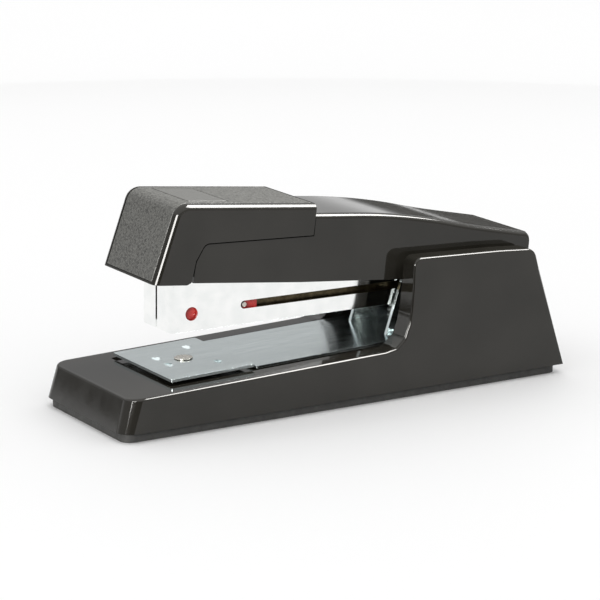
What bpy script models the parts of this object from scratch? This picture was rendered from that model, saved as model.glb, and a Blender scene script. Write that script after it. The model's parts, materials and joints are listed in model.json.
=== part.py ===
"""Compact half-strip desktop stapler.

Metres, +Z up. The front of the base faces -X, and the origin is on the table under the middle of
the base. Outlines are drawn in the side plane as (station, height): stations run backwards from
a datum just behind the base's front edge.
"""

import math

import bmesh
import bpy
from mathutils import Matrix, Vector

# Overall size
BASE_FRONT = -0.0012
BASE_REAR = 0.1310
MIDDLE = (BASE_FRONT + BASE_REAR) / 2
GAP = 0.0003
PAST = 0.01  # how far a cutter runs past the surface it cuts

# Rubber foot and base shell
FOOT_FRONT = -0.0002
FOOT_REAR = 0.1302
FOOT_HALF_WIDTH = 0.0206
FOOT_HEIGHT = 0.0021
FOOT_CORNER_RADIUS = 0.0030
FOOT_PLUG_SIDE = 0.0016
FOOT_PLUG_END = 0.0028
FOOT_PLUG_HEIGHT = 0.0035
SHELL_BOTTOM = 0.0024
BASE_HALF_WIDTH = 0.0221
SIDE_DRAFT = 0.055
SHELL_WALL = 0.0018
SHELL_EDGE_RADIUS = 0.0016
FRONT_CORNER_RADIUS = 0.0042
DECK_FRONT_HEIGHT = 0.0108
DECK_FRONT = 0.0012
DECK_SLOPE = math.radians(1.73)
RECESS_FRONT = 0.0152
RECESS_DEPTH = 0.0005
RECESS_HALF_WIDTH = 0.0158
RECESS_LIP = 0.0023
HOLLOW_REAR = (0.1262, 0.1290)
CHEEK_FOOT = 0.0750
CHEEK_INNER = 0.0151
CHEEK_POCKET = (0.0165, 0.0187)
WELL_FRONT = 0.0978
WELL_REAR = 0.1252
REAR_WALL_HEIGHT = 0.0185
CHEEK_CORNER_RADII = (0.0024, 0.0030)
BOSS_RADIUS = 0.0065
BOSS_DEPTH = 0.0012

# Pivot shared by the magazine and the handle
PIVOT_X = 0.1063
PIVOT_Z = 0.0280
PIN_RADIUS = 0.0017
PIN_ENDS = (-0.0113, 0.0107)
PIN_HEAD = (0.0028, 0.0009)
PUSH_NUT = (0.0029, 0.0006)

# Bracket: a steel plate in the deck with two ears that carry the pivot
PLATE_FRONT = 0.0407
PLATE_REAR = 0.0968
PLATE_HALF_WIDTH = 0.0141
PLATE_TOP = 0.0005
PLATE_THICKNESS = 0.0007
EAR_INNER = 0.0081
EAR_OUTER = 0.0091
SHEET_CORNER_RADIUS = 0.0008
RIVET_HOLE_RADIUS = 0.0013
BRACKET_RIVET_GRIP = 0.0033
RETURN_SPRING_X = 0.0930

# Turning anvil, measured from the deck surface
ANVIL_X = 0.0277
ANVIL_HALF_LENGTH = 0.0120
ANVIL_HALF_WIDTH = 0.0153
ANVIL_TOP = 0.0015
ANVIL_THICKNESS = 0.0007
POST_RADIUS = 0.0016
POST_HEAD = (0.0024, 0.00035)
POCKET_DEPTH = 0.00042
POCKET_RADIUS = 0.0045
POCKET_HALF_WIDTH = 0.0010
POCKETS = {"clinch": (-0.0058, 0.0033), "pin": (0.0057, 0.0082)}
BUTTON_RADIUS = 0.0048
BUTTON_BOTTOM = 0.0006
BUTTON_HEIGHT = 0.0028

# Magazine, measured from the pivot in its own level frame
MAGAZINE_TILT = math.radians(0.49)
MAGAZINE_FRONT = 0.0200
MAGAZINE_BOTTOM = -0.00665
MAGAZINE_TOP = 0.0060
MAGAZINE_HALF_WIDTH = 0.0075
MAGAZINE_WALL = 0.0008
MAGAZINE_TAIL = 0.0052
MAGAZINE_TAIL_RADIUS = 0.0045
MAGAZINE_BEND_RADIUS = 0.0013
SLIT_HALF_WIDTH = 0.0004
SLOT_HEIGHT = -0.0016
SLOT_ENDS = (0.0401, 0.0943)
SLOT_RADIUS = 0.00105
WINDOW = (0.0259, -0.0022)
WINDOW_RADIUS = 0.00175
RAIL_FRONT = 0.0224
RAIL_REAR = 0.0993
RAIL_HALF_WIDTH = 0.0056
RAIL_TOP = 0.0001
ROD_HEIGHT = -0.0026
ROD_RADIUS = 0.0010
CLIP = (0.0024, 0.0006)
SEAT_ENDS = (0.0873, 0.0988)
PUSHER_FRONT = 0.0235
PUSHER_REAR = 0.0455
PUSHER_HALF_WIDTH = 0.00635
PUSHER_TOP = 0.0019
PUSHER_BOTTOM = -0.0054
PUSHER_BLOCK = (0.0010, 0.0068)
PUSHER_BLOCK_HALF_WIDTH = 0.0042
PUSHER_WEB_HALF_WIDTH = 0.0009
STUD_X = 0.0412
STUD_RADIUS = 0.00065
STUD_ENDS = (0.00595, 0.0074)

# Handle
COVER_HALF_WIDTH = 0.0134
COVER_WALL = 0.0015
CAP_HALF_WIDTH = 0.0137
CAP_WALL = 0.0018
CAP_EDGE_RADIUS = 0.0018
CAP_SIDE_WALL = 0.0014
BROW_RADIUS = 0.0040
CAP_REAR = 0.0589
PAD_HALF_WIDTH = 0.0117
PAD_THICKNESS = 0.0006
LABEL = (0.0240, 0.0357)
LABEL_HALF_WIDTH = 0.0092
FRAME_HALF_WIDTH = 0.0104
FRAME_WALL = 0.0008
BLADE_TIP = (0.0219, 0.0317)
BLADE_LEAN = math.radians(3)
BLADE_THICKNESS = 0.0005
BLADE_HALF_WIDTH = 0.0062
BLADE_TAB_END = 0.0313
BLADE_BEND_X = 0.0229
BLADE_RIVET_X = 0.0275
BLADE_RIVET_Y = 0.0038
HANDLE_SPRING_X = 0.0928

# Springs: coil radius, wire radius, turns
RETURN_SPRING = (0.0028, 0.0004, 4)
ANVIL_SPRING = (0.0029, 0.00035, 4)
PUSHER_SPRING = (0.0016, 0.0002, 22)
HANDLE_SPRING = (0.0026, 0.00035, 5)

# Rivets that hold the bracket to the shell, behind the cheeks' front edges
RIVET_PLACES = [(x, y) for x in (0.0873, 0.0945) for y in (-0.0118, 0.0118)]

# Side outlines
DECK_TO_CHEEK = [(0.0783, 0.0136), (0.0808, 0.0157), (0.0823, 0.0191), (0.0831, 0.0230), (0.0837, 0.0282)]
CHEEK_TOP = [(0.0843, 0.0363), (0.1109, 0.0353), (0.1222, 0.0345)]
REAR_SLOPE = [(0.1235, 0.0294), (BASE_REAR, SHELL_BOTTOM)]
CHEEK_POCKET_OUTLINE = [(0.0860, 0.008), (0.0872, 0.0335), (0.1185, 0.0325), (0.1212, 0.0280), (0.1258, 0.008)]
EAR_OUTLINE = [(0.0827, 0.0128), (0.0877, 0.0279), (0.0889, 0.0330), (0.1115, 0.0330), (0.1115, 0.0250),
               (0.0965, 0.0133)]
COVER_TOP = [(CAP_REAR, 0.0495), (0.0776, 0.0475), (0.0926, 0.0448), (0.1075, 0.0411), (0.1247, 0.0374)]
COVER_EDGE = [(0.0231, 0.0359), (0.0540, 0.0324), (0.0781, 0.0301), (0.0906, 0.0288)]
COVER_BELLY = [(0.0974, 0.0240), (0.1113, 0.0240), (0.1173, 0.0284), (0.1249, 0.0314), (0.1254, 0.0367)]
CAP_FRONT = (0.0120, 0.0366)
CAP_BROW = (0.0192, 0.0562)
CAP_HEEL = (CAP_REAR, 0.0521)
CAP_SKIRT = [(0.0213, 0.0356), (0.0225, 0.0361), (0.0238, 0.0414), (0.0265, 0.0455), (0.0578, 0.0441)]
FRAME_TOP = [(0.0222, 0.0503), (0.0775, 0.0452), (0.1003, 0.0407), (0.1123, 0.0374)]
FRAME_EDGE = [(0.1123, 0.0235), (0.0988, 0.0235), (0.0875, 0.0339), (0.0775, 0.0384), (0.0222, 0.0464)]


# ---------------------------------------------------------------- materials
def material(name, colour, roughness, metallic=0.0):
    made = bpy.data.materials.new(name)
    made.use_nodes = True
    shader = made.node_tree.nodes["Principled BSDF"]
    shader.inputs["Base Color"].default_value = (*colour, 1.0)
    shader.inputs["Roughness"].default_value = roughness
    shader.inputs["Metallic"].default_value = metallic
    made.diffuse_color = (*colour, 1.0)
    return made


# ---------------------------------------------------------------- outlines
def deck_height(x):
    return DECK_FRONT_HEIGHT + (x - DECK_FRONT) * math.tan(DECK_SLOPE)


def rounded(outline, radii, steps=5):
    """The closed outline with each corner that has a radius replaced by an arc."""
    points = []
    count = len(outline)
    for index, (corner, radius) in enumerate(zip(outline, radii)):
        corner = Vector(corner)
        if not radius:
            points.append(corner)
            continue
        before = (Vector(outline[index - 1]) - corner).normalized()
        after = (Vector(outline[(index + 1) % count]) - corner).normalized()
        half = before.angle(after) / 2
        centre = corner + (before + after).normalized() * (radius / math.sin(half))
        start = corner + before * (radius / math.tan(half)) - centre
        sweep = (math.pi - 2 * half) * (1 if before.cross(after) < 0 else -1)
        for step in range(steps + 1):
            turn = Matrix.Rotation(sweep * step / steps, 2)
            points.append(centre + turn @ start)
    return points


def smooth(points, steps=4):
    """A Catmull-Rom curve through the points."""
    points = [Vector(point) for point in points]
    ends = [2 * points[0] - points[1], *points, 2 * points[-1] - points[-2]]
    curve = []
    for first, second, third, fourth in zip(ends, ends[1:], ends[2:], ends[3:]):
        for step in range(steps):
            t = step / steps
            curve.append(0.5 * (2 * second + (third - first) * t
                                + (2 * first - 5 * second + 4 * third - fourth) * t ** 2
                                + (3 * second - first - 3 * third + fourth) * t ** 3))
    return [*curve, points[-1]]


def height_on(path, x):
    """The height of a path, read by its straight runs."""
    for (x0, z0), (x1, z1) in zip(path, path[1:]):
        if x <= x1:
            return z0 + (z1 - z0) * (x - x0) / (x1 - x0)
    return path[-1][1]


def circle(centre, radius, segments=32):
    return [Vector((centre[0] + radius * math.cos(math.tau * step / segments),
                    centre[1] + radius * math.sin(math.tau * step / segments)))
            for step in range(segments)]


def rectangle(low, high):
    return [Vector(low), Vector((high[0], low[1])), Vector(high), Vector((low[0], high[1]))]


# ---------------------------------------------------------------- frames
def frame_at(x, z, turn=0.0):
    """A frame on the stapler's middle plane at a station and a height, turned about Y."""
    return Matrix.Translation((x - MIDDLE, 0, z)) @ Matrix.Rotation(turn, 4, "Y")


SIDE = frame_at(0, 0)
DECK = frame_at(ANVIL_X, deck_height(ANVIL_X), -DECK_SLOPE)
AXLE = frame_at(PIVOT_X, PIVOT_Z)
MAGAZINE = frame_at(PIVOT_X, PIVOT_Z, MAGAZINE_TILT)
ALONG = Matrix.Rotation(math.radians(90), 4, "Y")
ON_ROD = MAGAZINE @ Matrix.Translation((0, 0, ROD_HEIGHT)) @ ALONG


def joint_empty(name, frame):
    empty = bpy.data.objects.new(name, None)
    empty.empty_display_size = 0.01
    empty.matrix_world = frame
    bpy.context.scene.collection.objects.link(empty)
    return empty


# ---------------------------------------------------------------- solids
class Builder:
    """Makes named objects whose origin and parent are one joint's empty."""

    def __init__(self, empty):
        self.empty = empty
        self.home = empty.matrix_world.copy()

    def finish(self, name, bm, frame, finish=None):
        bmesh.ops.recalc_face_normals(bm, faces=bm.faces)
        mesh = bpy.data.meshes.new(name)
        bm.to_mesh(mesh)
        bm.free()
        mesh.transform(self.home.inverted() @ frame)
        mesh.shade_smooth()
        mesh.set_sharp_from_angle(angle=math.radians(35))
        made = bpy.data.objects.new(name, mesh)
        bpy.context.scene.collection.objects.link(made)
        made.parent = self.empty
        if finish:
            mesh.materials.append(finish)
        else:
            made.hide_render = True
            made.display_type = "WIRE"
        return made

    def prism(self, name, outline, across, finish=None, frame=SIDE, draft=0.0, soften=()):
        """Extrudes a side outline (x, z) across Y. With draft, the sides lean in with height."""
        bm = bmesh.new()
        sides = [[bm.verts.new((x, y - math.copysign(draft * z, y), z)) for x, z in outline]
                 for y in across]
        bm.faces.new(sides[0])
        bm.faces.new(sides[1])
        for index in range(len(outline)):
            after = (index + 1) % len(outline)
            bm.faces.new((sides[0][index], sides[0][after], sides[1][after], sides[1][index]))
        bmesh.ops.recalc_face_normals(bm, faces=bm.faces)
        for choose, radius, segments in soften:
            edges = [edge for edge in bm.edges if choose(edge)]
            bmesh.ops.bevel(bm, geom=edges, offset=radius, segments=segments, profile=0.5,
                            affect="EDGES", clamp_overlap=True)
        return self.finish(name, bm, frame, finish)

    def slab(self, name, outline, low, high, finish=None, frame=SIDE):
        """Extrudes a plan outline (x, y) from one height to another."""
        bm = bmesh.new()
        layers = [[bm.verts.new((x, y, z)) for x, y in outline] for z in (low, high)]
        bm.faces.new(layers[0])
        bm.faces.new(layers[1])
        for index in range(len(outline)):
            after = (index + 1) % len(outline)
            bm.faces.new((layers[0][index], layers[0][after], layers[1][after], layers[1][index]))
        return self.finish(name, bm, frame, finish)

    def turned(self, name, profile, finish=None, frame=SIDE, segments=32):
        """Turns a closed profile (radius, height) about the frame's Z axis."""
        bm = bmesh.new()
        rings = []
        for step in range(segments):
            angle = math.tau * step / segments
            rings.append([bm.verts.new((r * math.cos(angle), r * math.sin(angle), h)) for r, h in profile])
        for ring, after in zip(rings, rings[1:] + rings[:1]):
            for index in range(len(profile)):
                above = (index + 1) % len(profile)
                bm.faces.new((ring[index], after[index], after[above], ring[above]))
        bmesh.ops.remove_doubles(bm, verts=bm.verts, dist=1e-6)
        return self.finish(name, bm, frame, finish)

    def coil(self, name, spring, length, finish, frame, steps=12, sides=5):
        """A helical spring that starts at the frame's origin and runs along its Z axis."""
        radius, wire, turns = spring
        bm = bmesh.new()
        rings = []
        for step in range(turns * steps + 1):
            angle = math.tau * step / steps
            height = wire + (length - 2 * wire) * step / (turns * steps)
            out = Vector((math.cos(angle), math.sin(angle), 0))
            ring = []
            for side in range(sides):
                lean = math.tau * side / sides
                ring.append(bm.verts.new(out * (radius + wire * math.cos(lean))
                                         + Vector((0, 0, height + wire * math.sin(lean)))))
            rings.append(ring)
        for ring, after in zip(rings, rings[1:]):
            for index in range(sides):
                beside = (index + 1) % sides
                bm.faces.new((ring[index], ring[beside], after[beside], after[index]))
        bm.faces.new(rings[0])
        bm.faces.new(rings[-1])
        return self.finish(name, bm, frame, finish)


def combine(target, other, operation):
    modifier = target.modifiers.new(f"{operation.lower()}_{other.name}"[:60], "BOOLEAN")
    modifier.operation = operation
    modifier.object = other


def cut(target, *cutters):
    for cutter in cutters:
        combine(target, cutter, "DIFFERENCE")


def add(target, *others):
    for other in others:
        combine(target, other, "UNION")


def disc(radius, low, high):
    """A solid round's profile (radius, height)."""
    return [(0, low), (radius, low), (radius, high), (0, high)]


def washer(bore, radius, low, high):
    """A bored round's profile (radius, height)."""
    return [(bore, low), (radius, low), (radius, high), (bore, high)]


def pin_profile(radius, low, high, head_radius, head_height, tail_radius=0.0):
    """A headed pin's profile: head on top, and a formed tail below where it has one."""
    profile = [(0, high + head_height), (0, low), (radius, low), (radius, high),
               (head_radius, high), (head_radius, high + head_height)]
    if tail_radius:
        profile[1:3] = [(0, low - head_height), (tail_radius, low - head_height),
                        (tail_radius, low), (radius, low)]
    return profile


# ---------------------------------------------------------------- base
def sharp_edge(edge):
    return len(edge.link_faces) == 2 and edge.calc_face_angle() > math.radians(25)


def above_seam(edge):
    return all(vert.co.z > SHELL_BOTTOM + 0.0005 for vert in edge.verts)


def front_corner(edge):
    low, high = sorted(vert.co.z for vert in edge.verts)
    return low < SHELL_BOTTOM + 0.0001 and high > 0.005 and max(vert.co.x for vert in edge.verts) < 0.01


def outer_edge(edge):
    return sharp_edge(edge) and above_seam(edge)


def base_outline():
    corners = [(BASE_FRONT, SHELL_BOTTOM), (DECK_FRONT, DECK_FRONT_HEIGHT), (CHEEK_FOOT, deck_height(CHEEK_FOOT)),
               *DECK_TO_CHEEK, *CHEEK_TOP, *REAR_SLOPE]
    radii = [0.0] * len(corners)
    top_front = corners.index(CHEEK_TOP[0])
    top_rear = corners.index(CHEEK_TOP[2])
    radii[top_front], radii[top_rear] = CHEEK_CORNER_RADII
    return rounded(corners, radii, 4)


def make_base_shell(base, plastic):
    shell = base.prism("base_shell", base_outline(), (-BASE_HALF_WIDTH, BASE_HALF_WIDTH), plastic,
                       draft=SIDE_DRAFT,
                       soften=((front_corner, FRONT_CORNER_RADIUS, 5), (outer_edge, SHELL_EDGE_RADIUS, 3)))
    underside = deck_height(CHEEK_FOOT) - SHELL_WALL
    inner = BASE_HALF_WIDTH - SHELL_WALL - GAP
    front = DECK_FRONT + SHELL_WALL
    roof_rear, foot_rear = HOLLOW_REAR
    below = -0.001
    section = [(BASE_FRONT + SHELL_WALL, below), (front, deck_height(front) - RECESS_LIP),
               (roof_rear, underside + SHELL_WALL / 2), (foot_rear, below)]
    hollow = base.prism("cut_hollow", section, (-inner, inner))
    low, high = CHEEK_POCKET
    pockets = [base.prism("cut_cheek_left", CHEEK_POCKET_OUTLINE, (-high, -low)),
               base.prism("cut_cheek_right", CHEEK_POCKET_OUTLINE, (low, high))]
    near, wide = CHEEK_INNER, RECESS_HALF_WIDTH
    start, neck = RECESS_FRONT - ANVIL_X, CHEEK_FOOT + 0.002 - ANVIL_X
    end = WELL_REAR - ANVIL_X
    recess = [(start, -wide), (neck, -wide), (neck, -near), (end, -near),
              (end, near), (neck, near), (neck, wide), (start, wide)]
    channel = base.slab("cut_channel", recess, -RECESS_DEPTH, 0.04, frame=DECK)
    well_half = near - GAP / 2
    well = base.prism("cut_well", rectangle((WELL_FRONT, 0.004), (WELL_REAR - GAP, 0.03)),
                      (-well_half, well_half))
    notch_half = near - GAP
    notch = base.prism("cut_notch", rectangle((WELL_REAR - 0.003, REAR_WALL_HEIGHT), (0.14, 0.05)),
                       (-notch_half, notch_half))
    boss = base.turned("add_anvil_boss", disc(BOSS_RADIUS, -BOSS_DEPTH, RECESS_DEPTH - 0.0001), frame=DECK)
    bore = base.turned("cut_anvil_bore", disc(POST_RADIUS + GAP, -PAST, PAST), frame=DECK)
    cut(shell, hollow, *pockets, channel, well, notch)
    add(shell, boss)
    cut(shell, bore)
    for index, (x, y) in enumerate(RIVET_PLACES, 1):
        place = DECK @ Matrix.Translation((x - ANVIL_X, y, 0))
        hole = base.turned(f"cut_shell_rivet_{index}", disc(RIVET_HOLE_RADIUS, -PAST, PAST), frame=place,
                           segments=16)
        cut(shell, hole)


def make_foot(base, rubber):
    radii = [FOOT_CORNER_RADIUS] * 4
    plan = rounded(rectangle((FOOT_FRONT, -FOOT_HALF_WIDTH), (FOOT_REAR, FOOT_HALF_WIDTH)), radii)
    plug_half = FOOT_HALF_WIDTH - FOOT_PLUG_SIDE
    plug_plan = rounded(rectangle((FOOT_FRONT + FOOT_PLUG_END, -plug_half),
                                  (FOOT_REAR - FOOT_PLUG_END, plug_half)), radii)
    foot = base.slab("rubber_foot", plan, 0, FOOT_HEIGHT, rubber)
    add(foot, base.slab("add_foot_plug", plug_plan, 0.001, FOOT_PLUG_HEIGHT))
    button_x = DECK @ Vector((0, 0, -0.010))
    hole = circle((button_x.x + MIDDLE, 0), BUTTON_RADIUS + 0.0007)
    cut(foot, base.slab("cut_button_hole", hole, -PAST, PAST))


def make_bracket(base, steel):
    half = PLATE_HALF_WIDTH
    plan = rounded(rectangle((PLATE_FRONT - ANVIL_X, -half), (PLATE_REAR - ANVIL_X, half)),
                   [SHEET_CORNER_RADIUS] * 4)
    plate = base.slab("pivot_bracket", plan, PLATE_TOP - PLATE_THICKNESS, PLATE_TOP, steel, DECK)
    outline = rounded(EAR_OUTLINE, [0, 0, 0.003, 0.0040, 0.0035, 0])
    for side, low, high in (("left", -EAR_OUTER, -EAR_INNER), ("right", EAR_INNER, EAR_OUTER)):
        add(plate, base.prism(f"add_ear_{side}", outline, (low, high)))
    hole = circle((PIVOT_X, PIVOT_Z), PIN_RADIUS + GAP)
    cut(plate, base.prism("cut_ear_holes", hole, (-0.02, 0.02)))
    for index, (x, y) in enumerate(RIVET_PLACES, 1):
        place = DECK @ Matrix.Translation((x - ANVIL_X, y, 0))
        cut(plate, base.turned(f"cut_plate_rivet_{index}", disc(RIVET_HOLE_RADIUS, -0.002, 0.002), frame=place,
                               segments=16))
        base.turned(f"bracket_rivet_{index}",
                    pin_profile(0.0010, -BRACKET_RIVET_GRIP, PLATE_TOP + 0.0002, 0.0020, 0.0006, 0.0018),
                    steel, place, 20)


def make_pivot(base, steel):
    across = AXLE @ Matrix.Rotation(math.radians(90), 4, "X")
    tail, seat = PIN_ENDS
    base.turned("pivot_pin", pin_profile(PIN_RADIUS, tail, seat, *PIN_HEAD), steel, across)
    nut_radius, nut_height = PUSH_NUT
    low = tail + 0.0002
    nut = washer(PIN_RADIUS + 0.00025, nut_radius, low, low + nut_height)
    base.turned("pivot_push_nut", nut, steel, across, 24)
    floor = DECK @ Vector((RETURN_SPRING_X - ANVIL_X, 0, PLATE_TOP))
    roof = MAGAZINE @ Vector((RETURN_SPRING_X - PIVOT_X, 0, MAGAZINE_BOTTOM))
    base.coil("return_spring", RETURN_SPRING, roof.z - floor.z - 3 * GAP, steel,
              frame_at(RETURN_SPRING_X, floor.z + 1.5 * GAP))


# ---------------------------------------------------------------- anvil
def make_anvil(anvil, lifter, base, steel, spring_steel, plastic):
    half_long, half_wide = ANVIL_HALF_LENGTH, ANVIL_HALF_WIDTH
    plan = rounded(rectangle((-half_long, -half_wide), (half_long, half_wide)), [0.0006] * 4, 3)
    plate = anvil.slab("anvil_plate", plan, ANVIL_TOP - ANVIL_THICKNESS, ANVIL_TOP, steel, DECK)
    bore = circle((0, 0), POST_RADIUS + GAP, 24)
    cut(plate, anvil.slab("cut_anvil_bore_plate", bore, -0.005, 0.005, frame=DECK))
    height = ANVIL_TOP + POCKET_RADIUS - POCKET_DEPTH
    width = POCKET_HALF_WIDTH
    for name, (x, y) in POCKETS.items():
        for side, sign in (("left", -1), ("right", 1)):
            place = DECK @ Matrix.Translation((x, sign * y, height)) @ ALONG
            profile = disc(POCKET_RADIUS, -width, width)
            cut(plate, anvil.turned(f"cut_pocket_{name}_{side}", profile, frame=place, segments=48))
    floor = -(deck_height(ANVIL_X) - BUTTON_BOTTOM)
    top = floor + BUTTON_HEIGHT
    post = pin_profile(POST_RADIUS, floor + 0.0012, ANVIL_TOP + 0.00012, *POST_HEAD)
    anvil.turned("anvil_post", post, steel, DECK, 28)
    lifter.turned("anvil_button", washer(POST_RADIUS + GAP, BUTTON_RADIUS, floor, top), plastic, DECK)
    underside = -(SHELL_WALL + BOSS_DEPTH)
    base.coil("anvil_spring", ANVIL_SPRING, underside - top - 2 * GAP, spring_steel,
              DECK @ Matrix.Translation((0, 0, top + GAP)))


# ---------------------------------------------------------------- magazine
def on_magazine(x):
    return x - PIVOT_X


def magazine_corner(edge):
    ends = [vert.co for vert in edge.verts]
    upright = abs(ends[0].z - ends[1].z) < 1e-6 and abs(ends[0].y - ends[1].y) < 1e-6
    return not upright and all(end.x < on_magazine(MAGAZINE_FRONT) + 1e-5 for end in ends) \
        and abs(ends[0].z - ends[1].z) > 0.005


def make_magazine(magazine, chrome):
    front, tail = on_magazine(MAGAZINE_FRONT), MAGAZINE_TAIL
    bottom, top, half = MAGAZINE_BOTTOM, MAGAZINE_TOP, MAGAZINE_HALF_WIDTH
    tail_radius = MAGAZINE_TAIL_RADIUS
    outline = rounded(rectangle((front, bottom), (tail, top)), [0, tail_radius, tail_radius, 0])
    channel = magazine.prism("magazine_channel", outline, (-half, half), chrome, MAGAZINE,
                             soften=((magazine_corner, MAGAZINE_BEND_RADIUS, 3),))
    wall = MAGAZINE_WALL
    inner = half - wall
    inside = magazine.prism("cut_inside", rectangle((front + wall, bottom + wall), (tail + PAST, top + PAST)),
                            (-inner, inner), frame=MAGAZINE)
    exit_rear = on_magazine(RAIL_FRONT) + GAP
    exit_section = rectangle((front + wall, bottom - PAST), (exit_rear, bottom + 0.002))
    exit_gap = magazine.prism("cut_staple_exit", exit_section, (-inner, inner), frame=MAGAZINE)
    slit_section = rectangle((front - PAST, bottom - PAST), (front + 0.001, top + PAST))
    slit = magazine.prism("cut_front_slit", slit_section, (-SLIT_HALF_WIDTH, SLIT_HALF_WIDTH), frame=MAGAZINE)
    low, high = (on_magazine(x) for x in SLOT_ENDS)
    slot_outline = rounded(rectangle((low, SLOT_HEIGHT - SLOT_RADIUS), (high, SLOT_HEIGHT + SLOT_RADIUS)),
                           [SLOT_RADIUS * 0.98] * 4, 4)
    slot = magazine.prism("cut_slots", slot_outline, (-PAST, PAST), frame=MAGAZINE)
    window = magazine.prism("cut_windows", circle((on_magazine(WINDOW[0]), WINDOW[1]), WINDOW_RADIUS, 28),
                            (-PAST, PAST), frame=MAGAZINE)
    pivot = magazine.prism("cut_pivot", circle((0, 0), PIN_RADIUS + GAP), (-PAST, PAST), frame=MAGAZINE)
    cut(channel, inside, exit_gap, slit, slot, window, pivot)


def make_rail(magazine, steel, spring_steel):
    front, rear = on_magazine(RAIL_FRONT), on_magazine(RAIL_REAR)
    floor = MAGAZINE_BOTTOM + MAGAZINE_WALL + GAP
    wall = MAGAZINE_WALL
    half = RAIL_HALF_WIDTH
    section = rectangle((front, floor), (rear, RAIL_TOP))
    rail = magazine.prism("staple_rail", section, (-half, half), steel, MAGAZINE)
    hollow = rectangle((front + wall, floor - PAST), (rear - wall, RAIL_TOP - wall))
    inside = magazine.prism("cut_rail_inside", hollow, (-half + wall, half - wall), frame=MAGAZINE)
    end_wall, slit_half = 0.0012, 0.0013
    gap = rectangle((front + end_wall, floor), (rear - end_wall, RAIL_TOP + PAST))
    slit = magazine.prism("cut_rail_slit", gap, (-slit_half, slit_half), frame=MAGAZINE)
    eye = magazine.turned("cut_rod_eyes", disc(ROD_RADIUS + GAP, front - PAST, rear + PAST), frame=ON_ROD,
                          segments=20)
    cut(rail, inside, slit, eye)
    magazine.turned("guide_rod", disc(ROD_RADIUS, front + 0.0002, rear + 0.0014), steel, ON_ROD, 20)
    clip_radius, clip_height = CLIP
    low = rear + GAP
    clip = washer(ROD_RADIUS + 0.0002, clip_radius, low, low + clip_height)
    magazine.turned("rod_clip", clip, spring_steel, ON_ROD, 20)


def make_spring_seat(magazine, steel):
    low, high = (on_magazine(x) for x in SEAT_ENDS)
    half = MAGAZINE_HALF_WIDTH - MAGAZINE_WALL - GAP
    top = MAGAZINE_TOP - 0.0002
    sheet = MAGAZINE_WALL
    section = rectangle((low, PUSHER_TOP + sheet), (high, top))
    seat = magazine.prism("spring_seat", section, (-half, half), steel, MAGAZINE)
    cut(seat, magazine.prism("cut_seat", rectangle((low - PAST, 0), (high + PAST, top - sheet)),
                             (-half + sheet, half - sheet), frame=MAGAZINE))


def make_pusher(pusher, plastic, steel):
    front, rear = on_magazine(PUSHER_FRONT), on_magazine(PUSHER_REAR)
    half = PUSHER_HALF_WIDTH
    section = rectangle((front, PUSHER_BOTTOM), (rear, PUSHER_TOP))
    saddle = pusher.prism("pusher", section, (-half, half), plastic, MAGAZINE)
    passage = RAIL_HALF_WIDTH + GAP
    cut(saddle, pusher.prism("cut_passage", rectangle((front - PAST, -PAST), (rear + PAST, RAIL_TOP + GAP)),
                             (-passage, passage), frame=MAGAZINE))
    nose, heel = (front + x for x in PUSHER_BLOCK)
    web_half, block_half = PUSHER_WEB_HALF_WIDTH, PUSHER_BLOCK_HALF_WIDTH
    web_section = rectangle((nose, -0.0012), (heel, RAIL_TOP + 0.0008))
    web = pusher.prism("add_web", web_section, (-web_half, web_half), frame=MAGAZINE)
    block = pusher.prism("add_block", rectangle((nose, PUSHER_BOTTOM + 0.0002), (heel, -0.0010)),
                         (-block_half, block_half), frame=MAGAZINE)
    add(saddle, web, block)
    cut(saddle, pusher.turned("cut_rod_bore", disc(ROD_RADIUS + GAP, nose - PAST, heel + PAST), frame=ON_ROD,
                              segments=20))
    stud = (on_magazine(STUD_X), SLOT_HEIGHT)
    stud_hole = circle(stud, STUD_RADIUS + 0.0002, 16)
    cut(saddle, pusher.prism("cut_stud_holes", stud_hole, (-PAST, PAST), frame=MAGAZINE))
    for side, sign in (("left", -1), ("right", 1)):
        ends = sorted(sign * end for end in STUD_ENDS)
        pusher.prism(f"pusher_stud_{side}", circle(stud, STUD_RADIUS, 16), ends, steel, MAGAZINE)


def make_pusher_spring(magazine, spring_steel):
    start = on_magazine(PUSHER_FRONT) + PUSHER_BLOCK[1] + GAP
    length = on_magazine(RAIL_REAR) - MAGAZINE_WALL - GAP - start
    place = ON_ROD @ Matrix.Translation((0, 0, start))
    magazine.coil("pusher_spring", PUSHER_SPRING, length, spring_steel, place, steps=10, sides=4)


# ---------------------------------------------------------------- handle
def cap_line(drop):
    """The cap's flat top, lowered by drop, from behind the brow to the heel."""
    return [(CAP_BROW[0], CAP_BROW[1] - drop), (CAP_HEEL[0], CAP_HEEL[1] - drop)]


def cap_outline():
    corners = [CAP_FRONT, CAP_BROW, CAP_HEEL, *reversed(CAP_SKIRT)]
    radii = [0, BROW_RADIUS, 0, 0, 0.0020, 0.0020, 0.0008, 0.0008]
    return rounded(corners, radii)


def is_rim(half, low=0.0):
    """Edges between the outline's faces and a side face at this half width, above a height."""
    def choose(edge):
        ends = [vert.co for vert in edge.verts]
        one_side = abs(abs(ends[0].y) - half) < 1e-6 and abs(ends[0].y - ends[1].y) < 1e-6
        return one_side and all(end.z > low for end in ends) and edge.calc_face_angle() > math.radians(40)
    return choose


def cap_upper_rim(edge):
    on_side = is_rim(CAP_HALF_WIDTH)(edge)
    middle = (edge.verts[0].co + edge.verts[1].co) / 2
    ahead = middle.x < height_on([(0.035, 0.0125), (0.058, 0.0205)], middle.z)
    above = middle.z > height_on(cap_line(0.0024), middle.x)
    return on_side and (ahead or above)


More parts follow.
